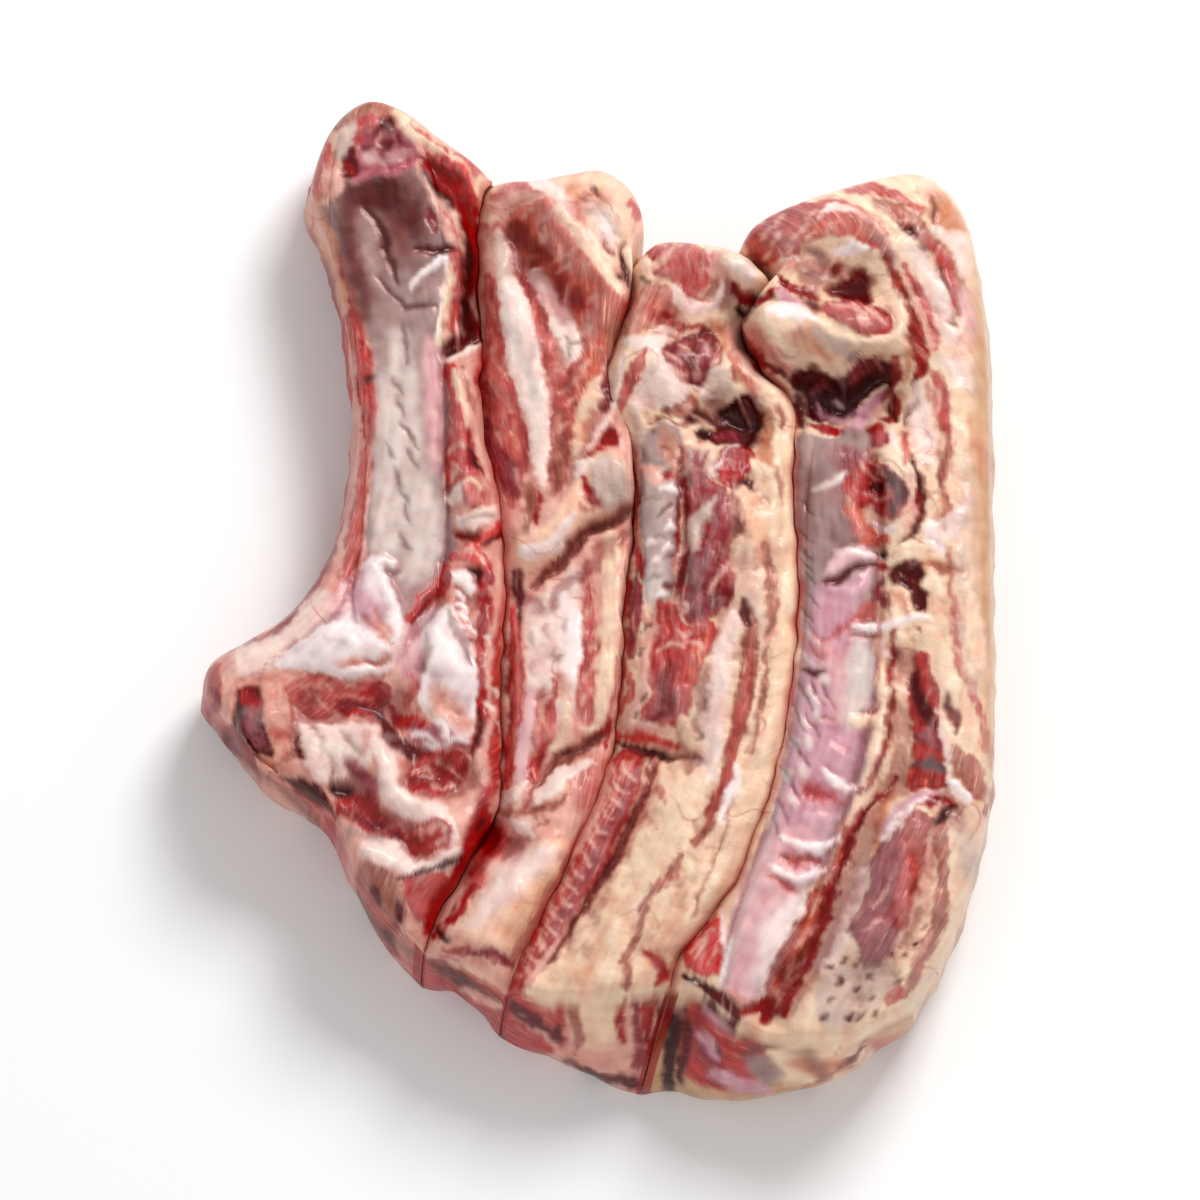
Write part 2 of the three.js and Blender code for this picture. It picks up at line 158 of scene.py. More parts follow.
TISSUES = {
    "lean_pink": (tone(214, 138, 130), tone(194, 104, 100), 1, 0, 0.8, 0.6),
    "lean_rose": (tone(208, 104, 98), tone(186, 74, 72), 1, 0, 0.8, 0.6),
    "lean_red": (tone(194, 56, 60), tone(164, 36, 44), 1, 0, 0.8, 0.6),
    "lean_bright": (tone(226, 102, 94), tone(204, 62, 62), 1, 0, 0.7, 0.5),
    "lean_brown": (tone(200, 150, 134), tone(178, 118, 102), 1, 0, 0.8, 0.6),
    "lean_rust": (tone(190, 98, 80), tone(162, 66, 54), 1, 0, 0.8, 0.6),
    "lean_salmon": (tone(224, 142, 120), tone(206, 112, 94), 1, 0, 0.8, 0.6),
    "lean_mauve": (tone(178, 96, 102), tone(148, 66, 76), 1, 0, 0.8, 0.6),
    # Dark lean, and painted shade in pockets, gutters, grooves and creases.
    "lean_dark": (tone(128, 36, 42), tone(94, 18, 28), 1, 0, 0.6, 0.7),
    # Painted shade in deep pockets, slits and knife cuts, over the red of blood.
    "pit": (tone(82, 12, 18), tone(52, 4, 10), 0.5, 0, 0.5, 0.9),
    "blood": (tone(184, 10, 6), tone(150, 2, 4), 0, 1, 0.3, 0.6),
    "blood_dark": (tone(108, 6, 10), tone(70, 0, 6), 0, 1, 0.3, 0.8),
    # White sinew and gristle, and painted highlights and glints on wet ridges and lumps.
    "white": (tone(252, 243, 240), tone(242, 224, 222), 0, 1, 0.4, 0.7),
    "fat_white": (tone(247, 231, 222), tone(234, 210, 202), 0, 0, 0.5, 0.5),
    "fat_cream": (tone(246, 226, 203), tone(235, 206, 182), 0, 0, 0.5, 0.7),
    "fat_pink": (tone(236, 198, 184), tone(219, 168, 156), 0, 0, 0.7, 0.8),
    "fat_peach": (tone(246, 214, 190), tone(236, 192, 166), 0, 0, 0.4, 0.8),
    "fat_tan": (tone(224, 178, 148), tone(207, 150, 122), 0, 0, 0.6, 1.0),
    # Greyish fat, and painted grey shade in folds and under lobes of fat.
    "fat_grey": (tone(224, 206, 192), tone(206, 184, 172), 0, 0, 0.6, 0.9),
    "membrane": (tone(190, 170, 166), tone(166, 144, 142), 0, 1, 0.3, 0.7),
    "membrane_brown": (tone(156, 112, 106), tone(130, 86, 84), 0, 1, 0.3, 0.8),
    # Darker membrane, and painted shade in its grooves and folds.
    "membrane_dark": (tone(122, 70, 68), tone(94, 46, 50), 0, 1, 0.3, 0.9),
    "membrane_pale": (tone(230, 220, 214), tone(212, 198, 192), 0, 1, 0.3, 0.8),
    "membrane_lilac": (tone(224, 190, 196), tone(202, 156, 168), 0, 1, 0.3, 0.8),
    "membrane_pink": (tone(236, 204, 202), tone(218, 174, 180), 0, 1, 0.3, 0.9),
    # Painted shade in wrinkles and creases.
    "wrinkle": (tone(116, 92, 86), tone(96, 72, 70), 0, 1, 0.2, 0.4),
    "gristle": (tone(246, 236, 234), tone(230, 214, 214), 0, 1, 0.4, 0.5),
    "marrow_pale": (tone(196, 126, 138), tone(172, 96, 112), 0.3, 0, 0.5, 0.5),
    "marrow": (tone(140, 52, 66), tone(102, 24, 44), 0.3, 0, 0.5, 0.5),
    "marrow_red": (tone(126, 22, 34), tone(86, 12, 26), 0.3, 0, 0.5, 0.5),
    "bone_rim": (tone(232, 190, 174), tone(214, 150, 134), 0, 0, 0.5, 0.5),
    "rind": (tone(218, 188, 156), tone(202, 164, 130), 0, 1, 0.3, 0.8),
}


def places_of(text):
    """The places, in millimetres, of a list such as "3,4 5,6.5"."""
    return [tuple(float(n) for n in pair.split(",")) for pair in text.split()]


def marks_of(sheet):
    """Reads a painter's sheet: one tissue a line, then a colon and the places where it is laid.

    Numbers before the colon are half widths, spread along a line; with none, the places go round an
    area. ^ is how far it stands up, ~ how soft its edge is and % how strong it is. A shape after @
    is laid at each place in turn. A slash parts one line of places from the next, and a row that
    starts with spaces goes on from the row above.
    """
    marks = []
    for row in sheet.replace("\n  ", " ").splitlines():
        if ":" not in row or row.startswith("#"):
            continue
        said, where = row.split(":")
        said, _, shape = said.partition("@")
        tissue, *words = said.split()
        signs = {word[0]: float(word[1:]) for word in words if word[0] in "^~%"}
        widths = [float(word) for word in words if word[0] not in "^~%"]
        runs = [places_of(run) for run in where.split("/")]
        if shape:
            runs = [[(x + a, y + b) for a, b in places_of(shape)] for x, y in runs[0]]
        for points in runs:
            mark = {"tissue": tissue, "raised": signs.get("^", 0), "soft": signs.get("~")}
            mark["strength"] = signs.get("%", 100) / 100
            if widths:
                shares = np.linspace(0, 1, len(points))
                half = np.interp(shares, np.linspace(0, 1, len(widths)), widths)
                mark["line"] = curve_through(np.column_stack([points, half]), 5)
            else:
                mark["outline"] = curve_through([points[-1], *points, *points[:2]], 4)[4:-5]
            marks.append(mark)
    return marks


MARK_MARGIN = 5                 # how far past its own edge a mark can still be felt
RISE_FROM, RISE_TO = -1.2, 1.6  # a raised tissue rises from just outside its edge to just inside


def painted(marks, base, read, grain):
    """Colour, fleshiness, skin and height at the places seen at `read`, under marks laid on in order."""
    x, y = read.T
    tone_a, tone_b, lean, skin, _, _ = TISSUES[base]
    streaks = 0.5 + 0.5 * noise(grain[:, 0] * 5.5, grain[:, 1], 9, 3) + 0.45 * noise(x, y, 3.2, 5)
    streaks = np.clip(streaks, 0, 1)[:, None]
    ragged = 0.5 * noise(x, y, 3.4, 11) + 0.4 * noise(x, y, 1.5, 12)
    ragged = ragged + 0.6 * noise(grain[:, 0] * 4.5, grain[:, 1], 5, 13)
    pulls = [0.8 * noise(x, y, 7, seed) + 0.5 * noise(x, y, 2.8, seed + 1) + 0.22 * noise(x, y, 1.2, seed + 2)
             for seed in (51, 61)]
    read = read + np.stack(pulls, axis=1)  # no tissue ends in a clean line
    look = {
        "tone": tone_a * (1 - streaks) + tone_b * streaks,
        "lean": np.full(len(x), float(lean)),
        "skin": np.full(len(x), float(skin)),
        "height": np.zeros(len(x)),
    }
    for mark in marks:
        line = mark.get("outline", mark.get("line"))
        reach = MARK_MARGIN + (line[:, 2].max() if line.shape[1] > 2 else 0)
        low, high = line[:, :2].min(axis=0) - reach, line[:, :2].max(axis=0) + reach
        near = np.flatnonzero(((read > low) & (read < high)).all(axis=1))
        if not len(near):
            continue
        if mark["tissue"] == "crease":  # a soft groove with no colour of its own
            gap, widths = nearest_on(line, read[near])
            look["height"][near] += mark["raised"] * np.exp(-((gap / widths[:, 0]) ** 2))
            continue
        if "outline" in mark:
            gap, _ = nearest_on(np.vstack([line, line[:1]]), read[near])
            inset = np.where(inside(line, read[near]), gap, -gap)
        else:
            gap, widths = nearest_on(line, read[near])
            inset = widths[:, 0] - gap
        tone_a, tone_b, lean, skin, rag, soft = TISSUES[mark["tissue"]]
        soft = mark["soft"] or soft
        cover = smooth_step(-soft, soft, inset + rag * ragged[near]) * mark["strength"]
        mixed = tone_a * (1 - streaks[near]) + tone_b * streaks[near]
        look["tone"][near] += (mixed - look["tone"][near]) * cover[:, None]
        look["lean"][near] += (lean - look["lean"][near]) * cover
        look["skin"][near] += (skin - look["skin"][near]) * cover
        look["height"][near] += mark["raised"] * smooth_step(RISE_FROM, RISE_TO, inset)
    add_marbling(look, x, y, grain)
    return look


def add_marbling(look, x, y, grain):
    """Pink stains and fine red veins in the fat; pale threads of fat along the grain of the lean."""
    fat = np.clip(1 - look["lean"] - look["skin"], 0, 1)
    stain = np.clip(0.7 * noise(x, y, 13, 71) + 0.5 * noise(x, y, 4.5, 72), 0, 1) * fat
    look["tone"] *= 1 - stain[:, None] * (0.10, 0.30, 0.28)
    vein = smooth_step(0.07, 0.0, np.abs(noise(x, y, 9, 73))) * np.clip(noise(x, y, 16, 74) * 2, 0, 1)
    look["tone"] += (VEIN_RED - look["tone"]) * (vein * fat * 0.5)[:, None]
    thread = smooth_step(0.42, 0.75, noise(grain[:, 0] * 5, grain[:, 1], 8, 75)) * look["lean"]
    look["tone"] += (THREAD_PALE - look["tone"]) * (thread * 0.5)[:, None]


# ---- The plan of a slice, and the height of its top ----

KNIFE_GAP = 0.06                           # the soft slices nearly touch along a knife cut
CLEFT_REACH = 6                            # how far in the top falls off towards a knife cut
END_ROUND, END_DROP = 9, 9                 # how far in, and down, at the free ends and sides
SKIN_BULGE, FOOT_TUCK, WALL_LEAN = 1.8, 2.5, 0.2
GRID = 0.46                                # spacing of the fine mesh on top of a slice
WALL_RINGS = 22                            # rows of faces down a side
COLUMN_SHARE = 1.1                         # columns of the grid, against even spacing by GRID
CROWDING = 0.4                             # how much the columns crowd towards the two sides
STAIN_FROM, STAIN_TO = 1, 6                # inset over which the painted shade and juice stain of the hollows, and the painted light of the ridges, set in
JUICE_REACH = 1.7                          # how far juice stains the top beside a knife cut
CUT_STAIN = 0.85                           # how strongly it stains the knife cut itself
NO_CUT = 100                               # a free side counts as this much further from a knife cut
SEAT_SPACE = 0.3                           # free space under a bone in its bed
WALL_DRIFT = 2.4                           # how far in from the rim a wall's tissues are read
WALL_LUMPS, WALL_FURROWS = 0.4, 1.3        # swell and furrows of the free sides
SLUMP_ROWS = 24                            # rows of the grid over which the chine end starts to spread
BARE_SHARE = 0.85                          # share of a bone's half width that shows
END_FADE = 16                              # length over which flesh closes over the end of a bone
BONE_STEP = 0.6                            # spacing of a bone's own rows of faces
BED_LAP = 1.0                              # how far a bone's thin edge laps over the flesh round its bed


def shifted(points, offset):
    """A line of the plan, moved to the left of its own direction."""
    p = np.asarray(points, float)
    ahead = np.vstack([p[1:], p[-1:]]) - np.vstack([p[:1], p[:-1]])
    ahead /= np.hypot(*ahead.T)[:, None]
    return p + offset * np.stack([-ahead[:, 1], ahead[:, 0]], axis=1)


def side_of(cut, side, gap):
    """One side of a slice as a fine line; a knife cut wavers a little, alike on the slices it parts."""
    line = curve_through(shifted(cut[side], 0 if cut[side + "_free"] else gap), 24)
    if not cut[side + "_free"]:
        down = line[:, 1]
        line[:, 0] += 0.8 * noise(down, 0 * down, 11, 81) + 0.35 * noise(down, 0 * down, 4, 82)
    return line


def plan_of(cut, u, v):
    """Places of the grid (u, v) between a slice's two sides and its two ends."""
    left, right = side_of(cut, "left", KNIFE_GAP / 2), side_of(cut, "right", -KNIFE_GAP / 2)
    tip = [left[0], *cut["tip_end"][1:-1], right[0]]
    chine = [left[-1], *cut["chine_end"][1:-1], right[-1]]
    l, r = (at_shares(side, v)[:, None] for side in (left, right))
    t, c = (at_shares(curve_through(end, 24), u)[None, :] for end in (tip, chine))
    u, v = u[None, :, None], v[:, None, None]
    corners = (1 - u) * ((1 - v) * left[0] + v * left[-1]) + u * ((1 - v) * right[0] + v * right[-1])
    return (1 - v) * t + v * c + (1 - u) * l + u * r - corners


def shoulder(inset, reach, drop):
    """A quarter-round edge: 0 from `reach` inwards, growing to `drop` at the edge itself."""
    t = np.clip(1 - inset / reach, 0, 1)
    return drop * (1 - np.sqrt(1 - 0.98 * t * t))


def cleft(inset, drop):
    """One side of the soft valley along a knife cut."""
    return drop * np.clip(1 - inset / CLEFT_REACH, 0, 1) ** 2.4


def bone_face(bone, points):
    """Height of a bone's bare face, each point's share of the way out across it, and the face's share.

    The face's share is 1 along the bone and falls to 0 at its ends, where the flesh closes over it.
    """
    line = curve_through(bone["line"], 6)
    gap, found = nearest_on(line, points)
    to_end = np.min([np.hypot(*(points - end[:2]).T) for end in (line[0], line[-1])], axis=0)
    top, half_width, half_depth = found.T
    share = gap / half_width
    sine = np.sqrt(np.clip(1 - np.minimum(share, 1) ** 2, 0, 1))
    return top - half_depth * (1 - sine) - bone["dish"] * sine ** 3, share, smooth_step(2, END_FADE, to_end)


def top_of(cut, places, u, v):
    """Height of a slice's top before its tissues: crown, rounded edges, folds, level with its bones."""
    rows = curve_through([(k, *row) for k, row in enumerate(cut["crown"])], 10)
    l, m, r = (np.interp(v * (len(cut["crown"]) - 1), rows[:, 0], rows[:, k])[:, None] for k in (1, 2, 3))
    w = u[None, :]
    crown = l * (1 - w) * (1 - 2 * w) + 4 * m * w * (1 - w) + r * w * (2 * w - 1)
    width = np.hypot(*(places[:, -1] - places[:, 0]).T)[:, None]
    length = np.hypot(*(places[-1] - places[0]).T)[None, :]
    edges = 0
    for drops, inset in ((cut["left_drop"], w * width), (cut["right_drop"], (1 - w) * width)):
        drop = np.interp(v, np.linspace(0, 1, len(drops)), drops)[:, None]
        edges = edges + (cleft(inset, drop) if len(drops) > 1 else shoulder(inset, END_ROUND, drop))
    edges = edges + shoulder(v[:, None] * length, END_ROUND, END_DROP)
    edges = edges + shoulder((1 - v)[:, None] * length, END_ROUND / 2, END_DROP / 3)
    height = (crown - np.minimum(edges, END_DROP * 1.3)).ravel()
    flat = places.reshape(-1, 2)
    for rise, reach, points in cut["folds"]:
        gap, _ = nearest_on(np.array([(x, y, 0) for x, y in points], float), flat)
        height += rise * np.exp(-((gap / reach) ** 2))
    for bone in cut["bones"]:
        face, share, part = bone_face(bone, flat)
        height += (face - height) * (1 - smooth_step(0.8, 1.5, share)) * part
    return height


def read_places(places, height):
    """Where the camera sees a place of that height, on the plan at READ_HEIGHT."""
    shift = (READ_HEIGHT - height) * math.tan(CAMERA_TILT)
    return np.stack([places[:, 0], places[:, 1] - shift], axis=1)


def fine_relief(read, grain, look):
    """Lumps, dimples, fibres and lobes of fat that come without being drawn."""
    x, y = read.T
    lumps = 0.6 * noise(x, y, 10, 20) + 0.4 * noise(x, y, 5.5, 21)
    lumps = lumps + 0.16 * noise(x, y, 2.9, 22) + 0.07 * noise(x, y, 1.4, 23)
    lobes = 0.2 * np.abs(noise(grain[:, 0] * 2.4, grain[:, 1], 9, 25)) - 0.07
    fibres = 0.22 * noise(grain[:, 0] * 5, grain[:, 1], 8, 24)
    fat = np.clip(1 - look["lean"] - look["skin"], 0, 1)
    return lumps * (1 - 0.6 * look["skin"]) + fibres * look["lean"] + lobes * fat


def blurred(grid, reach):
    """A grid of heights, each averaged with those up to `reach` places away, twice over."""
    for axis in (0, 1, 0, 1):
        margins = [(0, 0), (0, 0)]
        margins[axis] = (reach + 1, reach)
        sums = np.cumsum(np.pad(grid, margins, mode="edge"), axis=axis)
        upper = np.take(sums, range(2 * reach + 1, sums.shape[axis]), axis=axis)
        lower = np.take(sums, range(0, sums.shape[axis] - 2 * reach - 1), axis=axis)
        grid = (upper - lower) / (2 * reach + 1)
    return grid


def stain_hollows(look, height, shape, share):
    """Darkens and reddens the hollows of the surface, by `share`, as juice gathered there and as painted
    shade; its ridges are paler, as painted light.
    """
    grid = height.reshape(shape)
    near, wide = blurred(grid, 2) - grid, blurred(grid, 8) - grid
    hollow = 0.6 * np.clip(near / 0.2, -1, 1) + 0.6 * np.clip(wide / 0.9, -1, 1)
    hollow = (np.clip(hollow, -1, 1).ravel() * share)[:, None]
    # Painted shade and juice stain in the hollows, painted light on the ridges.
    look["tone"] *= 1 - np.maximum(hollow, 0) * (0.42, 0.58, 0.55)
    look["tone"] += (1 - look["tone"]) * np.maximum(-hollow, 0) * 0.10


# ---- One slice, or one bone of it, as a closed mesh ----

SNUG = (0.996, 0.9935, 0.985)  # keeps the fine relief inside the box of the plain solids


def to_model(points):
    """From the plan's millimetres to metres in the model's frame."""
    moved = np.array(points, float)
    moved[:, :2] += PLAN_SHIFT
    return moved * SNUG * MM


def mesh_piece(name, points, faces, look, grain, material):
    """A smooth mesh object that carries its tissues' colours and its grain as attributes."""
    mesh = bpy.data.meshes.new(name)
    mesh.from_pydata(to_model(points).tolist(), [], faces)
    mesh.update()
    colours = np.ones((len(points), 4), np.float32)
    colours[:, :3] = np.clip(look["tone"], 0, 1)
    mesh.attributes.new("tone", "FLOAT_COLOR", "POINT").data.foreach_set("color", colours.ravel())
    for key in ("lean", "skin"):
        mesh.attributes.new(key, "FLOAT", "POINT").data.foreach_set("value", look[key].astype(np.float32))
    strip = np.zeros((len(points), 3), np.float32)
    strip[:, :2] = grain * MM
    mesh.attributes.new("strip", "FLOAT_VECTOR", "POINT").data.foreach_set("vector", strip.ravel())
    mesh.materials.append(material)
    mesh.polygons.foreach_set("use_smooth", np.ones(len(mesh.polygons), bool))
    piece = bpy.data.objects.new(name, mesh)
    bpy.context.collection.objects.link(piece)
    return piece


def free_side(cut, u):
    """1 round the free sides and ends of a slice, falling to 0 at a knife cut."""
    left = 1 if cut["left_free"] else 3 * u
    right = 1 if cut["right_free"] else 3 * (1 - u)
    return min(left, right, 1) ** 2


def slump_at(cut, u):
    """How far the foot of the chine end spreads past its rim."""
    ends = [np.subtract(side[-1], side[-2]) for side in (cut["left"], cut["right"])]
    left, right = (end / np.hypot(*end) for end in ends)
    way = left * (1 - u) + right * u
    return way / np.hypot(*way) * (cut["slump"][0] * (1 - u) + cut["slump"][1] * u)


def grid_of(cut):
    """Shares across and down a slice at which its top has places; they crowd towards its two sides."""
    middle = plan_of(cut, np.array([0.0, 1.0]), np.array([0.5]))[0]
    columns = round(float(np.hypot(*(middle[1] - middle[0]))) * COLUMN_SHARE / GRID)
    side = curve_through(cut["right"], 8)
    rows = round(float(np.hypot(*np.diff(side, axis=0).T).sum()) / GRID)
    even = np.linspace(0, 1, columns + 1)
    u = (1 - CROWDING) * even + CROWDING * (1 - np.cos(math.pi * even)) / 2
    return u, np.linspace(0, 1, rows + 1)


def top_skin(cut, u, v):
    """Places, heights, look and grain of a slice's top under all its tissues."""
    places = plan_of(cut, u, v)
    flat = places.reshape(-1, 2)
    height = top_of(cut, places, u, v)
    width = np.hypot(*(places[:, -1] - places[:, 0]).T)[:, None]
    length = np.hypot(*(places[-1] - places[0]).T)[None, :]
    across, along = u[None, :] * width, v[:, None] * length
    grain = np.stack([across.ravel(), along.ravel()], axis=1)
    read = read_places(flat, height)
    look = painted(cut["marks"], cut["base"], read, grain)
    free = np.minimum(np.minimum(u, 1 - u)[None, :] * width, np.minimum(v, 1 - v)[:, None] * length)
    relief = look["height"] + fine_relief(read, grain, look)
    height = height + relief * smooth_step(-0.5, 2.0, free.ravel())
    # Painted shade and juice stain in the hollows, and painted light on the ridges, away from the rim.
    stain_hollows(look, height, free.shape, smooth_step(STAIN_FROM, STAIN_TO, free.ravel()))

    # Bright meat juice stains the edges along a knife cut.
    from_left = across + (NO_CUT if cut["left_free"] else 0)
    from_right = width - across + (NO_CUT if cut["right_free"] else 0)
    wet_edge = np.minimum(from_left, from_right).ravel() + 0.5 * noise(*read.T, 5, 41)
    wetness = 0.6 + 0.4 * noise(*read.T, 14, 42)
    juice = ((1 - smooth_step(0, JUICE_REACH, wet_edge)) * np.clip(wetness, 0, 1))[:, None]
    look["tone"] += (JUICE_RED - look["tone"]) * juice
    return flat, height, look, grain


def seat_bones(bones, places, height):
    """Heights of a slice's top, which dips under each bone, so that the bone lies in a seat of its own."""
    for bone in bones:
        share = bed_share(bone, places)
        seat = bone["thick"] * np.sqrt(np.clip(1 - share ** 2, 0, 1)) + SEAT_SPACE
        height = height - np.where(share < 1, seat, 0)
    return height


def rim_of(rows, columns):
    """The rim of a slice's grid, anticlockwise: left side, chine end, right side, and back by the tips."""
    rim = [(j, 0) for j in range(rows)] + [(rows, i) for i in range(columns + 1)]
    return rim + [(j, columns) for j in range(rows - 1, -1, -1)] + [(0, i) for i in range(columns - 1, 0, -1)]


def walls_under(rim, rim_height, run, swell, slump):
    """Places of a slice's sides, in rings down from its rim, and where on the top each reads its tissues."""
    ahead = np.roll(rim, -1, axis=0) - np.roll(rim, 1, axis=0)
    ahead /= np.hypot(*ahead.T)[:, None]
    outwards = np.stack([ahead[:, 1], -ahead[:, 0]], axis=1)
    wall, drift = [], []
    for ring in range(1, WALL_RINGS + 1):
        f = ring / WALL_RINGS
        out = (1 - swell) * -WALL_LEAN * f
        out += swell * (SKIN_BULGE * math.sin(math.pi * f) - FOOT_TUCK * f ** 3)
        lumps = WALL_LUMPS * noise(run, np.full(len(run), f * 40), 6, 31)
        lumps -= WALL_FURROWS * np.abs(noise(run, np.full(len(run), f * 14), 12, 32))
        out += swell * math.sin(math.pi * f) * lumps
        places = rim + outwards * out[:, None] + slump * math.sin(f * math.pi / 2)
        wall.append(np.column_stack([places, rim_height * (1 - f)]))
        sideways = ahead * (noise(run, rim_height * f, 9, 33) * 3 * f)[:, None]
        inwards = outwards * WALL_DRIFT * min(1, 4 * f)
        drift.append(np.column_stack([rim - inwards + sideways, rim_height]))
    return np.vstack(wall), np.vstack(drift)


def wall_skin(cut, wall, drift, run, swell, at_chine):
    """Look and grain of a slice's sides: the top's tissues go on down, with others on the free sides."""
    shares = np.repeat(np.arange(1, WALL_RINGS + 1) / WALL_RINGS, len(run))
    wall_run = np.tile(run, WALL_RINGS)
    grain = np.stack([shares * 30, wall_run], axis=1)
    look = painted(cut["marks"], cut["base"], read_places(drift[:, :2], drift[:, 2]), grain)
    ends = painted(cut["wall_marks"], cut["wall_base"], read_places(wall[:, :2], wall[:, 2]), grain)
    ragged = shares + 0.06 * noise(wall_run, shares * 20, 6, 35)
    outer = np.tile(smooth_step(0.4, 1, swell), WALL_RINGS) * cut["side_cover"]
    outer = outer * smooth_step(0.1, 0.5, ragged)
    chine = np.tile(at_chine, WALL_RINGS) * cut["end_cover"] * smooth_step(0.02, 0.14, ragged)
    cover = np.maximum(chine, outer)
    for key in ("lean", "skin"):
        look[key] += (ends[key] - look[key]) * cover
    look["tone"] += (ends["tone"] - look["tone"]) * cover[:, None]
    in_cut = np.tile(swell < 0.01, WALL_RINGS) * CUT_STAIN
    look["tone"] += (CUT_RED - look["tone"]) * in_cut[:, None]
    return look, grain


def make_cut(name, node, cut, material):
    """Builds a slice in place of a solid; returns the unbroken top surface that its bones lie in."""
    u, v = grid_of(cut)
    rows, columns = len(v) - 1, len(u) - 1
    flat, height, look, grain = top_skin(cut, u, v)
    index = np.arange((rows + 1) * (columns + 1)).reshape(rows + 1, columns + 1)
    corners = [index[:-1, :-1], index[1:, :-1], index[1:, 1:], index[:-1, 1:]]
    faces = np.stack(corners, axis=-1).reshape(-1, 4).tolist()
    tree = BVHTree.FromPolygons(np.column_stack([flat, height]).tolist(), faces)
    surface = {"tree": tree, "corners": np.array(faces), "places": flat, "look": look}
    height = seat_bones(cut["bones"], flat, height)

    rim = rim_of(rows, columns)
    top_rim = np.array([index[place] for place in rim])
    swell = np.array([free_side(cut, u[i]) for _, i in rim])
    slump = np.array([slump_at(cut, u[i]) * smooth_step(rows - SLUMP_ROWS, rows, j) for j, i in rim])
    at_chine = np.array([j == rows for j, _ in rim])
    run = np.concatenate([[0], np.cumsum(np.hypot(*np.diff(flat[top_rim], axis=0).T))])
    wall, drift = walls_under(flat[top_rim], height[top_rim], run, swell, slump)
    sides, wall_grain = wall_skin(cut, wall, drift, run, swell, at_chine)

    rings = [top_rim] + [len(flat) + k * len(rim) + np.arange(len(rim)) for k in range(WALL_RINGS)]
    for upper, lower in zip(rings, rings[1:]):
        faces += np.stack([upper, lower, np.roll(lower, -1), np.roll(upper, -1)], axis=-1).tolist()
    foot = rings[-1]
    points = np.vstack([np.column_stack([flat, height]), wall])
    for a, b, c in tessellate_polygon([[Vector(points[k]) for k in foot]]):
        faces.append((int(foot[a]), int(foot[b]), int(foot[c])))
    look = {key: np.concatenate([look[key], sides[key]]) for key in ("tone", "lean", "skin")}
    piece = mesh_piece(name, points, faces, look, np.vstack([grain, wall_grain]), material)
    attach(piece, "root")
    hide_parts(node)
    return surface


def bed_line(bone):
    """A bone's middle line, cut back at both ends by its bare half width: rows of x, y, half width."""
    line = curve_through(bone["line"], 8)
    steps = np.hypot(*np.diff(line[:, :2], axis=0).T)
    reach = np.concatenate([[0], np.cumsum(steps)])
    start, end = line[0, 3] * BARE_SHARE, reach[-1] - line[-1, 3] * BARE_SHARE
    rows = at_shares(line, np.linspace(start, end, round((end - start) / BONE_STEP)) / reach[-1])
    return np.column_stack([rows[:, :2], rows[:, 3] * BARE_SHARE])


def bed_share(bone, points):
    """Share of the way out from a bone's middle line to the edge of its bed."""
    gap, widths = nearest_on(bed_line(bone), points)
    return gap / (widths[:, 0] - BED_LAP)


# ---- Wet meat: one material that reads the tissue under it ----

def linked(tree, socket, value):
    if isinstance(value, bpy.types.NodeSocket):
        tree.links.new(value, socket)
    else:
        socket.default_value = value


def attribute(tree, name, output):
    made = tree.nodes.new("ShaderNodeAttribute")
    made.attribute_name = name
    return made.outputs[output]


def sum_of(tree, operation, a, b):
    """Math on two values: ADD, SUBTRACT or MULTIPLY."""
    made = tree.nodes.new("ShaderNodeMath")
    made.operation = operation
    linked(tree, made.inputs[0], a)
    linked(tree, made.inputs[1], b)
    return made.outputs[0]


def ranged(tree, value, from_low, from_high, to_low, to_high):
    made = tree.nodes.new("ShaderNodeMapRange")
    made.inputs["From Min"].default_value = from_low
    made.inputs["From Max"].default_value = from_high
    made.inputs["To Min"].default_value = to_low
    made.inputs["To Max"].default_value = to_high
    tree.links.new(value, made.inputs["Value"])
    return made.outputs["Result"]


def mixed_colour(tree, mode, share, a, b):
    made = tree.nodes.new("ShaderNodeMix")
    made.data_type = "RGBA"
    made.blend_type = mode
    linked(tree, made.inputs["Factor"], share)
    linked(tree, made.inputs[6], a)
    linked(tree, made.inputs[7], b)
    return made.outputs[2]


def noise_of(tree, place, waves, detail):
    """Noise with so many waves to the metre along each axis of `place`."""
    scaled = tree.nodes.new("ShaderNodeVectorMath")
    scaled.operation = "MULTIPLY"
    scaled.inputs[1].default_value = waves
    tree.links.new(place, scaled.inputs[0])
    made = tree.nodes.new("ShaderNodeTexNoise")
    made.inputs["Scale"].default_value = 1
    made.inputs["Detail"].default_value = detail
    tree.links.new(scaled.outputs[0], made.inputs["Vector"])
    return made.outputs["Fac"]


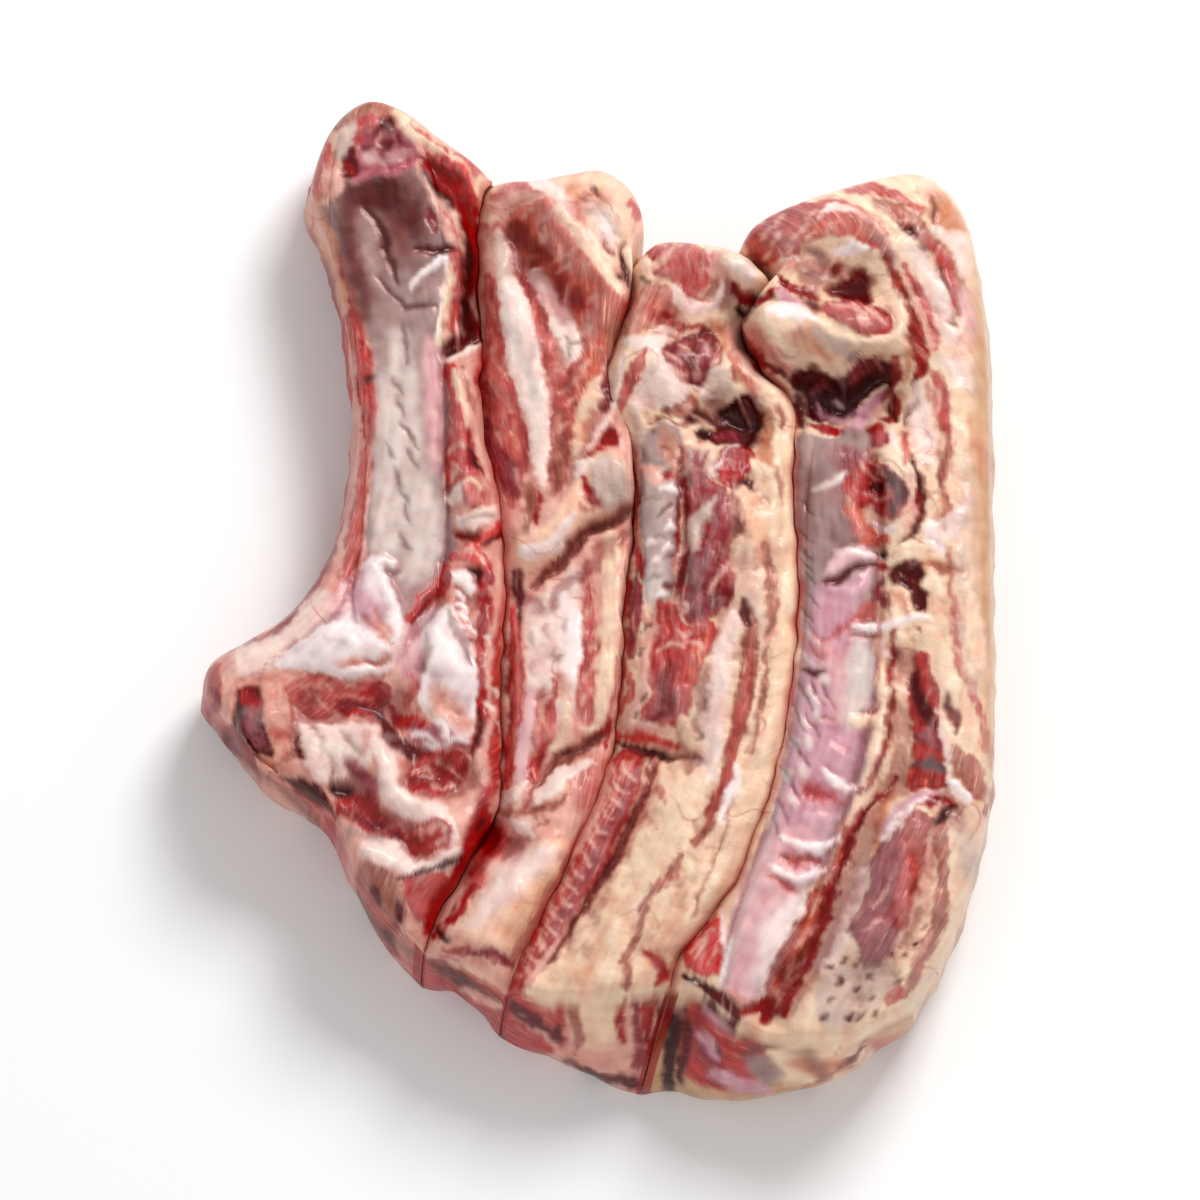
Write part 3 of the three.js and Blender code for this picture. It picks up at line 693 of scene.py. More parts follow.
def meat_material(name, fleck_strength):
    material = bpy.data.materials.new(name)
    material.use_nodes = True
    tree = material.node_tree
    shader = tree.nodes["Principled BSDF"]
    tissue = attribute(tree, "tone", "Color")
    lean = attribute(tree, "lean", "Fac")
    skin = attribute(tree, "skin", "Fac")
    strip = attribute(tree, "strip", "Vector")
    place = tree.nodes.new("ShaderNodeTexCoord").outputs["Object"]
    fibres = noise_of(tree, strip, (1300, 190, 1), 4)
    flecks = noise_of(tree, strip, (560, 150, 1), 3)
    grains = noise_of(tree, place, (1100, 1100, 1100), 3)
    blotches = noise_of(tree, place, (230, 230, 230), 5)

    # Fibres darken and lighten the lean; fat and membrane only mottle.
    fibre_shade = sum_of(tree, "MULTIPLY", lean, ranged(tree, fibres, 0.3, 0.7, -0.30, 0.16))
    shade = sum_of(tree, "ADD", ranged(tree, blotches, 0.3, 0.7, 0.90, 1.06), fibre_shade)
    grey = tree.nodes.new("ShaderNodeCombineColor")
    for socket in grey.inputs:
        linked(tree, socket, shade)
    colour = mixed_colour(tree, "MULTIPLY", 1.0, tissue, grey.outputs[0])
    fleck_share = sum_of(tree, "MULTIPLY", ranged(tree, flecks, 0.60, 0.72, 0, fleck_strength), lean)
    colour = mixed_colour(tree, "MULTIPLY", fleck_share, colour, (2.2, 3.4, 3.2, 1))
    stain = ranged(tree, blotches, 0.52, 0.72, 0, 0.5)
    colour = mixed_colour(tree, "MULTIPLY", stain, colour, (1, 0.84, 0.80, 1))
    linked(tree, shader.inputs["Base Color"], colour)

    wet = ranged(tree, blotches, 0.35, 0.65, 0.30, 0.50)
    smoother = sum_of(tree, "MULTIPLY", skin, 0.08)
    linked(tree, shader.inputs["Roughness"], sum_of(tree, "SUBTRACT", wet, smoother))
    shader.inputs["Specular IOR Level"].default_value = 0.32
    shader.inputs["Specular Tint"].default_value = (1, 0.45, 0.4, 1)  # the light passes through red juice
    shader.inputs["Coat Weight"].default_value = 0.18
    shader.inputs["Coat Roughness"].default_value = 0.15
    shader.inputs["Subsurface Weight"].default_value = 0.1
    shader.inputs["Subsurface Radius"].default_value = (1.0, 0.35, 0.25)
    shader.inputs["Subsurface Scale"].default_value = 0.002

    fibre_bumps = sum_of(tree, "MULTIPLY", fibres, lean)
    bumps = sum_of(tree, "ADD", fibre_bumps, sum_of(tree, "MULTIPLY", grains, 0.35))
    bumps = sum_of(tree, "ADD", bumps, blotches)
    bump = tree.nodes.new("ShaderNodeBump")
    bump.inputs["Strength"].default_value = 0.6
    bump.inputs["Distance"].default_value = 0.0006
    linked(tree, bump.inputs["Height"], sum_of(tree, "MULTIPLY", bumps, ranged(tree, skin, 0, 1, 1, 0.45)))
    tree.links.new(bump.outputs[0], shader.inputs["Normal"])
    return material


raw_meat = meat_material("raw_meat", 0.5)

# ---- Its size, its bones' seats and its tissues ----

CHINE_RIB_BONE = {
    "dish": 1.8, "thick": 5,
    "line": [[-51, 108, 32, 9, 3], [-50, 96, 32, 12, 3], [-48.5, 80, 31.5, 12.5, 3], [-46.5, 60, 31, 10.5, 3],
             [-44.5, 36, 31, 9, 3], [-44.5, 14, 31.5, 9.5, 3], [-47, -4, 32.5, 9, 3], [-49, -14, 32, 5, 1]],
}
CHINE_BONE = {
    "dish": 0, "thick": 5,
    "line": [[-76.5, -20, 34, 3.5, 2], [-76.5, -27, 36, 6, 4], [-75, -35, 36, 6, 4], [-72, -43, 33, 3.5, 2]],
}
LEFT_SIDE = [[-66.5, 100.5], [-67, 93.5], [-62, 80], [-58, 62], [-56.2, 42], [-57.5, 24], [-62, 8.5],
             [-70, -3.8], [-80, -10.8], [-88, -15.8], [-90, -23]]
KNIFE_1 = [[-25, 100], [-28, 89], [-27.3, 61], [-26.5, 37], [-23, 21], [-21.5, 0], [-22.5, -20],
           [-22.5, -42], [-24, -54], [-30, -65], [-37, -77], [-39.5, -84]]
KNIFE_1_DROPS = [6, 7, 4.5, 2.5, 3, 3, 4.5, 4]  # how deep the cleft is, at even steps from the tips down

# A gutter of blood between rib and knife cut, with painted shade in its deepest part.
# A pale fold over painted shade.
# A pocket dark with painted shade, and a torn strip of lean and fat below it.
# Cartilage right of it, under a thin bright torn strip, with a painted highlight on its top and grey painted
# shade at its sides.
# Dark brown and maroon round the lower edge of the bone are painted shadow.
# Its creases, darker with painted shade, and a pale ridge where it folds over at the right, partly painted
# highlight.
# Muscles of the chine end, each in its own fat, with painted shade in the creases and the pocket between
# them.
# The white on its lumps and crests is partly painted highlight; the pink lines in its creases are painted
# shade.
chine_rib_marks = marks_of("""
# Left of the bare rib: a strip of dusky lean between two bands of fat.
lean_pink .8 1.5 .8: -64.4,100 -65,96 -64.6,91.5
fat_tan 2 %80: -65,90 -62.4,84 -60,76 -58.5,68
lean_pink .6 1 .6: -59.4,77 -57.8,72 -57,66
lean_rose .8 2 2.3 1.2: -57,66 -56,60 -54.5,53 -53.6,47 -53,41 -52.6,35
lean_pink 1.2 1.8 1.6 .5: -52.6,35 -52.8,29 -54,23 -55,16 -55.8,8 -57.4,1 -59.4,-4 -62,-9.4
lean_rose .7 1.3 1.5 .8: -56.6,2 -57.8,-2 -59.6,-5.4 -61.6,-9
blood_dark .9: -52.8,47.6 -51.4,47.8
lean_mauve .5 .8 .9 .7 1 .6 .9 .7: -58.6,14 -61,6 -64,0 -67,-5 -71,-9.6 -74.6,-12.6 -80,-15.2 -86,-17.6
# The membrane over the rib: brown under the tip, then grey, then pale; pink along its right.
membrane: -64,90 -60,94.5 -54,96 -48,96.5 -43,98.5 -39,96 -36.5,90 -34,83 -33,79 -34,70 -35,60 -36.4,52
  -36,46 -34,40 -35,33 -35.4,24 -34.6,17 -33,9 -33.4,4 -38,-2 -43,-9 -46.5,-8 -48.6,-2 -51,3 -53.6,9
  -53,16 -51.6,24 -51,34 -51,46 -52.6,56 -55.4,66 -59,77 -62.6,86
membrane_brown ~3.5: -61,92 -54,95.5 -47,96 -41,97 -38,90 -36,82 -38,78.5 -44,76 -50,70 -55,62 -58,72
  -60,82
membrane_dark 2 5 2 ~3: -58,92.5 -53,92 -48,92 -44,88 -42,82
membrane_dark 1.5 2.6 2 1.2 ~2 %60: -59,88 -57.6,80 -55.6,71 -54,62
membrane 1 1.8 1.6 1 ~1.8: -54,86 -53.4,79 -51,73 -49,66
membrane_pale 2.5 4.3 5.2 5.3 6.3 7.6 8.3 7.6 4 ~2.4: -45.5,57 -45.6,50 -45.4,42 -45.4,34 -45,27 -44,20
  -43.6,12 -43.6,5 -43.6,0 -44.6,-6
membrane_pink 1.4 2.2 2 1.4 ~1.8: -38.5,56 -38,47 -37.4,38 -37,27
# Its creases, and a pale ridge where it folds over at the right.
wrinkle .5 .9 1.1 .8 1 .4 ^-.7 %80: -53.6,88.6 -51,85 -49.6,80 -48.6,76.6 -46.6,74.4 -46.8,71
wrinkle .3 .6 .5 .7 .3 ^-.5 %60: -50.6,72 -48,68.6 -45.6,66.4 -43.8,64.8 -38,65.4
wrinkle .3 .6 .4 ^-.4 %50: -45,61 -44.6,56 -43.6,51
membrane_dark .6 1.2 1.4 .8 ^-.8: -42,78.6 -38,78.6 -35,79.2 -33,78.8
gristle .4 1.1 .8 .6 ^.8: -43.4,69.6 -40,73 -35.6,76.6 -34.6,72 -36,66 -36.6,58
wrinkle .2 .6 .2 ^-.3 %45 @-1.1,2.2 0,0 1.2,-2.2: -45.6,41 -44.4,35.6 -42.8,28.4 -46,24 -44.8,19.6
  -43.6,15 -44.2,9 -46.4,46 -42.6,33 -47.4,30
gristle .8 1.3 .8 ^.7: -54,3.4 -51,4.6 -47.6,3.6
membrane .5 1.2 .6 ^-.6: -52.6,1.6 -50,1.4 -46,1
fat_pink ^.5: -42,99 -38.6,96.4 -36.4,91 -34.6,86 -31.6,81.4 -32,79 -34.4,80.6 -36.4,84 -38,88 -39.6,93
lean_mauve .3 .7 .5 ^-.4: -39.6,88 -38.4,85.6 -37.4,84
lean_pink .4: -36,88 -34.4,84 -32.6,81.6
blood_dark .9: -42.4,94.4
blood_dark 1: -41.2,90.6
blood_dark .9: -33.2,78.8
# The open end of the rib: rims of fat and lean round mauve marrow.
lean_brown 1.2 2.4 2.6 1.6 ~1: -60.6,108 -57,111.6 -51,113 -46,111
fat_grey ^.6: -60,107.6 -56.6,109 -55.4,106.6 -57.6,101.4 -60,100 -61.4,103.6
lean_pink 1: -62.6,104 -63.6,99.6
fat_pink 1 1.4 1 ^.3: -62,97 -61,93.6 -63,90
lean_rose: -56,109.6 -52,111 -48,110 -47,107.6 -50,105.6 -53.6,104 -56.4,104
marrow_pale ^-.4: -54,107 -49,108 -45.6,107.4 -43,103.6 -42.6,99.6 -46,98.4 -51,97 -56,96.6 -55.4,102
marrow ~1.4 %55: -53,106.6 -49,108 -45.4,107 -44.6,103.4 -48,102.6 -52,101.6 -54,103
marrow .9 1.5 1 ^-.6: -50.2,104.6 -49,104 -48,104.6
marrow .7 ^-.3: -46.4,106 -45.6,104.4
marrow .5 ^-.3: -54,102.6 -52,103.4
marrow .3 .5 .2 ^-.3: -50,102 -49.2,100 -48,98
fat_pink .4 ^.2: -51,106.6 -51.4,103.6
fat_white 1.2 ~1.2 %60: -53,100.6 -50,99.4 -45,101.2
blood_dark .8 1.7 1.4 ^-.4: -51.4,107.4 -49.8,109 -48.4,108.6
marrow ^-.6: -59.6,99.6 -57,103.4 -55.6,103 -55.4,99 -56,95.4 -59.4,95.6
lean_red 1.1: -58,99 -57.6,97
blood .8 %80: -56,103
marrow_pale .8 1.3 .9 ^.5: -57,94.6 -52,97.4 -47,98 -43,99.8
fat_cream 1.4 1.9 1.5 1 ^.9: -46.6,111.6 -42,107 -37.6,103 -33.6,99.4 -31.6,95.6
lean_pink .5: -43,109 -39,105.4 -35,101.8
lean_pink .8 1.5 1.2: -32.6,101 -29.6,99.4 -27,96.6
fat_cream 1.4 1.8 1.2 ^.6: -27,96 -27.6,91 -28,87
# A gutter of blood between rib and knife cut.
lean_rose 1.8: -32.8,77 -33,69 -33.6,61
fat_cream .6 1.2 1 ^.3 %80: -34,75 -35,68 -35.6,62 -36,56
blood_dark 1.6 2.9 3 3 2.4 ^-.8 ~1: -31.4,88 -29,82 -28.6,76 -28.8,70 -29.2,64 -29.2,58
pit .6 1.2 1 ~1 %70: -27.6,78 -27,70 -27.6,62
blood_dark 1 1.6 1 ^-.4 ~1: -40,97.6 -36.4,94 -34,89
blood 1 1.8 2.6 2.6 2 1 ^-.6: -41.6,100 -37.6,98.4 -33.6,94.6 -31,89.6 -29.6,85 -28.6,80
lean_bright .6 1 .9 .5 ^.4: -40,101.6 -35,99.4 -30.6,95.6 -29,89
fat_pink .3 %60: -29,69 -28.2,64 -27.4,60
# A dark pocket, and a torn strip of lean and fat below it.
lean_dark ^-1: -36,53.6 -35,57 -32,59 -27.4,58.6 -26.4,56 -30,55.6 -33,53.6
lean_bright ^.9: -36,51 -33,51.4 -31,45 -30.4,40 -29,36 -28,30 -26.8,25 -30,24 -34.6,21.6 -35.2,27
  -34.6,33 -33.6,39 -35,45
lean_red ^-.6: -30.6,38 -29,36 -28,31 -26.6,25.4 -30,25.6 -33,22.4 -31.4,28
blood_dark .5 .9 .5 ^-.5: -29.4,30 -28.6,27.6 -27.2,26.4
fat_cream .6 1.3 .8 .5 ^.5: -33,49 -32.2,46 -31,42.6 -30.4,39.6 -30.4,36
fat_pink .9 1.6 1.1 .8 1.3 1.6 ^.7: -30,53 -28.8,48 -28.4,43 -28.8,38 -27.6,33 -26,28 -24.4,22 -22.8,17
lean_brown .3 ^-.3: -30.8,50 -29.6,45 -29,40
lean_rose .3 ^-.2: -28.8,52 -27.8,46
fat_pink .4 .7 .4 ^.3: -34,30 -32.6,31.4 -31.2,30.8
fat_pink .4 .8 .4 ^.3: -33.6,27 -32.6,25 -33.4,23
fat_white .6 .8 1 .6 ^.9: -36,52 -33,52.8 -30.4,54.8 -27,56
fat_white .9 1.7 1.3 ^1: -34.6,18.4 -32.6,19.8 -31.2,21
lean_pink ^.7: -31.4,21.6 -29,24 -26.6,22 -25.6,18 -28.6,17 -31,18.6
fat_cream .5 .9 .5 ^.3: -30.6,22.6 -28.8,23.6 -27.4,21.4
# Folds of white fat and bright wet lean where the strip is torn off.
fat_white .9 1.7 1.8 1.3 ^1: -32,14.4 -29,13.8 -25.6,15.4 -20.6,17
membrane .4 ^-.3: -31,14 -27.6,14.6 -24.6,14.8
blood 1.2 1.3 .9 ^-.6: -32.4,11 -30.4,10.2 -28,10.6
lean_bright 1 1.7 1.8 ^.7: -30,7 -26.4,9.6 -22,12.6 -18.6,13.8
blood_dark .6 1.2 ^-.6: -26.4,8.8 -23,10.6 -18.6,11.6
lean_bright 1.3 2 2 1.4 ^.7: -33,4.6 -29.6,5.6 -26.4,3 -25.6,-3
fat_pink .4 ^.3: -31.6,5.6 -28.6,6.4 -26,4
blood_dark .7 1.4 1 ^-.7: -29.6,2.4 -27.6,1.4 -26.6,-1.4
# The lean strip along the knife cut, with sinew and a darker muscle on its right.
lean_red 1.8 2.2 2.2 2.1 1.2 ^.4: -25.6,0 -25.6,-7 -25.8,-14 -26.2,-22 -26.4,-30 -26.8,-36 -28.6,-41
lean_rose 1 1.6 1.4: -23,-12 -23.2,-22 -23.4,-32 -23.6,-42 -24.6,-50
fat_pink .4 .7 .7 .8 .4 ^.4: -24,-2 -24,-10 -24.6,-18 -24.8,-26 -24.6,-33 -25.6,-39
fat_white .3 .6 .3 ^.2 @-.9,.6 0,0 .4,-1.6: -24.6,-14 -23.2,-25.6 -25,-29.4 -22.8,-34
blood_dark .4 .9 .8 .4 ^-.6: -27.6,-31 -27,-35 -27.6,-38.4 -30,-41
# A white glossy tendon below the bare rib, with fat spreading from it to the left.
fat_white 3.4 ^.2 ~1.4: -62.6,-6 -67,-12 -73,-16.4 -80,-19
gristle ^.9: -63,-11 -58,-7 -54,2 -50.6,4 -47,-2 -45,-8 -43.4,-12 -45,-18 -49,-22 -58,-23.4 -66,-21
  -73,-20.6 -68,-15
membrane_lilac 1 2.4 2.4 1.4 ~1.8: -54,1 -54,-5 -51,-9 -49,-12
membrane_pink 1 1.8 1.2 ~1.2: -57.6,-1 -58.4,-5 -60.6,-8.6
white .7 1.3 1 .6 ^.8: -52,3 -49.4,0 -47.4,-4.6 -46,-9 -45.6,-12.6
white 1.8 2.8 2.4 ^.8: -60,-12.6 -56,-13 -50.4,-16.6
fat_pink .3 .6 .8 .5 ^-.7: -53.6,-9 -50.4,-11 -48.6,-14 -46.6,-15.6
fat_pink .3 .6 .4 ^-.5: -51,-7.6 -48.6,-10.6 -47,-13
fat_pink .6 1.4 1.4 .8 ^-.4 ~1.2: -59,-19.6 -55,-19.6 -50.6,-20 -46.6,-17
white .7 1.2 .8 ^.6: -57.6,-22.4 -54,-21.6 -50.4,-22
# Cartilage right of it, under a thin bright torn strip.
membrane_pink ^.2: -44.6,-11 -41,-9 -38,-12 -38.6,-18 -40.6,-24 -44,-24 -46,-17
gristle ^.6: -41,-9 -37,-7 -33,-6 -30,-13 -27.8,-20 -28,-30 -29.4,-37 -34,-36 -39,-31 -41,-27 -40,-18
white ^.8: -37,-11 -34,-14 -31,-19.6 -28.8,-22.6 -34,-21.6 -38.8,-20.6 -38,-15
membrane .6 1.4 1.2 .5 ^-.6 %80: -34,-7 -32,-11.6 -30.4,-16 -29.4,-20
membrane .4 1 .6 ^-.5 %70: -39.6,-13 -39.4,-17.6 -40.4,-21
fat_pink 1.8 3 2.4 ~2: -36,-26 -34.6,-31 -31,-34
white 1 1.6 1.3 ^.9: -33.4,.6 -31,0 -29.4,-2.6
lean_pink .3 .6 .3 ^-.5 @-1.4,.4 0,0 1.2,-1.3: -32,-1.7 -31.4,-4.1 -30.6,-6.7 -29.8,-9.1 -28.8,-11.7
  -28,-14.7
white .3 .7 .3 ^.4 @-1.4,.4 0,0 1.2,-1.4: -31.8,-3.2 -31,-5.8 -30.2,-8.4 -29.2,-11.2
lean_bright .9 1.7 1.3 ^1.2: -43.6,-9.6 -40.6,-6.4 -37,-2 -34,2.4
blood .6 1.2 .9 ^-.2: -43,-10 -40,-6.6 -36.6,-2 -34,1.4
# The sawn chine: red honeycomb marrow in a rim of bone, with dark muscle at its left.
lean_pink ^.3: -88,-20 -85.4,-20 -85,-24.6 -86,-30 -89,-28.6 -90.6,-24
lean_mauve 1: -87.6,-26 -86.6,-29
fat_pink 1.2 1.8 1.5 ^.4: -83.8,-20 -83.6,-26 -84,-31.4
bone_rim ^.3: -81,-24 -77,-23 -73,-22.4 -70,-24 -69.4,-30 -68,-36 -67.4,-42 -69,-46 -72,-47 -74,-44
  -78,-41 -83,-36 -83,-30
marrow_red ^-.6: -80.6,-25 -77,-25.4 -76,-30 -74.6,-36 -73.8,-41 -76,-41 -80,-38.6 -83,-34.6 -82.2,-30
lean_red 1.4 1.8 1.2: -79.4,-26.2 -78.4,-28 -77.4,-30
marrow_pale .3 ^.2 %70 @-1.8,0 -.9,.9 0,0 -.9,-.9: -78.7,-32 -76.5,-33 -78.1,-35 -75.7,-36 -80.1,-34
  -77.1,-38 -74.7,-39
lean_brown .4 .7 .5 %60: -73,-25 -71.4,-28 -72.6,-31
lean_rose 1 ~1.2 %70: -72.4,-35 -71.6,-37.4
lean_brown .5 .9 .5 ^-.6: -73.4,-43.6 -70.6,-42 -68,-41.6
lean_dark .4 .8 .6 ^-.6: -68,-37 -68.6,-40 -66,-42
lean_dark .8 ^-.4: -66,-40.6
lean_dark 1.4 2.6 3.2 2.2 ^-.8: -72,-47 -67,-48.6 -64,-51.6 -61,-58
pit .6 1.4 .8 ^-.4 %80: -69,-48 -65,-49.6 -63,-52
# Muscles of the chine end, each in its own fat.
lean_pink ^.5: -69.6,-24 -65,-21.8 -60,-23 -56.6,-26 -58.6,-29.6 -62,-32.4 -67,-31.4 -69.8,-28
fat_pink .3 ^.2 %70 @-1.6,-.8 0,0 1.2,-1.2: -66,-24.2 -64.4,-27.2 -62,-24.6 -62.4,-29.2
lean_red ^.5: -57,-25.6 -52,-24 -48,-24.6 -47.2,-27.6 -50,-31 -54,-33 -58,-32.4 -60,-29.4
blood .6 1.2 1 %60: -52,-25.6 -49.6,-25.8 -48.2,-27
lean_mauve .6 1.2 .7 ^-.4: -58.4,-29.6 -54,-30 -50.4,-29.6
lean_pink .5 ^.2: -59,-27.6 -55,-27.4 -51.6,-28
fat_white ^.8: -68,-33 -60,-34 -53,-33.6 -49.6,-35 -51,-41 -54,-45 -59,-47.4 -64.6,-46.6 -66.4,-41 -68,-37
fat_grey .4 .9 .4 ^-.8 %90: -64.6,-35 -62,-38 -62.6,-42 / -58,-35.6 -56,-39 -54,-41 / -61,-41 -59.6,-44
  -60,-47 / -57,-42 -56,-45 -54.4,-46
fat_pink .8 1.4 1 ^.2: -53,-35.6 -52.6,-38.6 -53.6,-41
fat_white 1.4 3 1.6 ^.7: -50,-38 -48,-43 -47,-49 -43.6,-53.6 -38,-54 -34.6,-56 -33,-60
marrow_pale 1.2 1.8 1.8 1 ~1.2: -55.6,-43.6 -53,-47 -51.6,-51 -51.4,-54
pit ^-1.2: -61,-48.4 -58,-47.8 -56,-48.8 -56.4,-51 -59.6,-51
lean_rose ^.4: -59,-51.6 -55,-50 -51.6,-50 -49.6,-53 -47,-57 -43,-60 -40,-62.6 -44,-63 -50,-60 -56,-56
  -60,-55
lean_mauve .8 1.3 .9: -57.6,-54 -51,-57 -45,-61
marrow .9 1.7 .7 ^-.3: -49.6,-31 -48,-35 -45.6,-38.6 -42,-41 -38.6,-41
lean_red ^.3: -47.6,-29.6 -44.6,-31.6 -41,-31 -38.6,-33 -39.6,-35 -43.6,-35.4 -46.4,-34
marrow_pale ^.4: -43.6,-35.6 -39.6,-34.4 -36,-33 -32.6,-36 -29.4,-37.6 -30,-39.6 -34,-39.4 -39,-39.4
  -42.4,-38.4
white .4 .9 .4 ^.4: -42.6,-36.6 -39.6,-36.4 -37,-37.6 / -36.6,-33 -35,-35 -34.4,-37.4 / -34.6,-38.6
  -32,-37.6 -30,-38 / -40,-38.6 -38,-39 -36,-38.8
lean_red ^.7: -42.6,-44.6 -39.6,-41 -35,-40.4 -30.6,-40.6 -29.4,-44 -31,-48 -35,-50.6 -40,-50.8
  -42.8,-48.4
lean_rose 1 3.2 3.2 1.2 ~2.6 %55: -42,-45 -38,-45.4 -33,-45
blood .7 1.2 .9 %60: -33.6,-41.6 -31.6,-42.4 -31,-44.6
fat_pink .4 ^.3: -41.6,-45.6 -38.6,-44 -37.4,-47
fat_pink .3 ^.2: -36.6,-42.4 -33.6,-43.6 -31.6,-46.6
fat_pink .4 ^.2: -38,-47.6 -35.4,-49 -33,-48.4
lean_pink .9 1.4 1 ^.2 %80: -42.4,-23 -42,-26 -43.6,-29
fat_pink 1.5 ^.5: -27,-42 -26.4,-46 -26.2,-50.4
lean_rose ^.4: -39,-56.4 -35.4,-55.4 -33,-57.6 -33.6,-61.6 -37.6,-63 -42,-64.6 -44,-61 -43.6,-57.4
fat_pink .2 .4 .2 ^.2 @-.4,2 0,0 -.6,-2: -43.2,-58 -41.6,-57.6 -40,-58
fat_pink .5 ^.2: -38.6,-58.6 -36.4,-57.2 -34.8,-59.4 -36.6,-61
fat_white ^.8: -54,-62 -50,-60.4 -45,-61.4 -41,-65.5 -35,-64 -30,-61 -29,-63 -31,-66 -36,-68 -42,-69
  -48,-66 -54,-65
membrane 1.2 %70: -56,-58.6 -53,-60 -50,-60.4
lean_brown ^.5: -54,-66 -48,-66.5 -45,-70 -43,-76 -44,-79.5 -48,-80 -53,-78 -55,-72
lean_dark 2 ^-.4: -51.4,-73 -50.6,-75.5
lean_dark 1.3 ^-.3: -45.8,-77 -45.3,-79
lean_rose ^.5: -44,-69 -36,-68 -33,-70 -35,-74 -39,-79 -43,-77
lean_dark .5 .8 .8 ^-.6: -45,-69.4 -36,-66.8 -30,-64.5
lean_rose 1.8 ^.3: -30,-67.5 -33,-74.5 -37,-81
lean_red 1.2 2 3 2 ~1.4: -25.6,-49 -26.4,-53 -26.6,-57 -28.6,-62
blood 1.4 2.4 1.4 1.3 1.2 .9 ^-.6: -26,-54.6 -26.4,-58.6 -29.6,-65 -32.6,-70 -36.6,-76 -38.6,-82
blood_dark 1.5 ^-.5: -26,-57.6 -26,-60.4
""")
# The dark bands on the chine end's wall are painted shade.
chine_rib_wall_marks = marks_of("""
lean_dark 1.4 2.2 1.6 ~1.4: -88,-34 -80,-44 -70,-53 -64,-61 -60,-72
fat_pink 1.2 2 1.2 ~1.2: -82,-43 -74,-52 -67,-58
lean_red 1.4 2.4 1.6: -62,-66 -58,-76 -52,-84
fat_pink .8 1.6 1: -60,-78 -54,-86 -46,-91
lean_dark 1 1.6 1: -56,-74 -50,-82 -42,-88
""")
chine_rib_cut = {
    "left": LEFT_SIDE, "right": KNIFE_1, "left_free": True, "right_free": False, "slump": (1, 3),
    "left_drop": [END_DROP], "right_drop": KNIFE_1_DROPS,
    "tip_end": [[-66.5, 100.5], [-62, 111], [-54, 117.2], [-46, 115], [-38, 109.5], [-31, 104.5], [-25, 100]],
    "chine_end": [[-90, -23], [-84, -31], [-75, -42.5], [-66, -47.5], [-60, -53], [-55.5, -63], [-49.5, -74],
                  [-39.5, -84]],
    "crown": [[27, 32, 31], [27, 30, 30], [27, 30, 31], [28, 31, 33], [30, 35, 34], [29, 34, 31]],
    "folds": [
        [-5, 5, [[-42, 101], [-35, 96], [-31, 88], [-30, 70], [-31, 58]]],
        [3, 5, [[-32, 50], [-32, 35], [-31, 20]]],
        [3, 6, [[-60, -15], [-47, -15]]],
        [3, 5, [[-37, -12], [-32, -22]]],
        [-3, 5, [[-66, -29], [-52, -28]]],
        [-4, 6, [[-46, -33], [-40, -44], [-33, -46]]],
        [3, 6, [[-49, -38], [-46, -50], [-38, -55]]],
        [-4, 5, [[-57, -47], [-50, -56], [-41, -63]]],
        [4, 6, [[-53, -62], [-43, -66], [-31, -62]]],
    ],
    "bones": [CHINE_RIB_BONE, CHINE_BONE],
    "base": "fat_pink", "marks": chine_rib_marks,
    "side_cover": 0.35, "end_cover": 0.6, "wall_base": "lean_rose",
    "wall_marks": chine_rib_wall_marks,
}
chine_surface = make_cut("chine_slice", "chine_rib_cut", chine_rib_cut, raw_meat)


# ======== Second slice ========
# No bone shows in it: bands of fat and lean run from the rib tips down to a plain of cream fat.
# It lies between the first and the second knife line.

KNIFE_2 = [[9, 80.5], [6.8, 75], [7, 69], [2.5, 55], [1.5, 42], [7, 30], [7.8, 12], [5.5, -4], [5, -22],
           [2.5, -39], [-4, -58], [-14, -79], [-21, -94]]
KNIFE_2_DROPS = [6, 5, 3.5, 4, 3.5, 2.5, 3, 4]
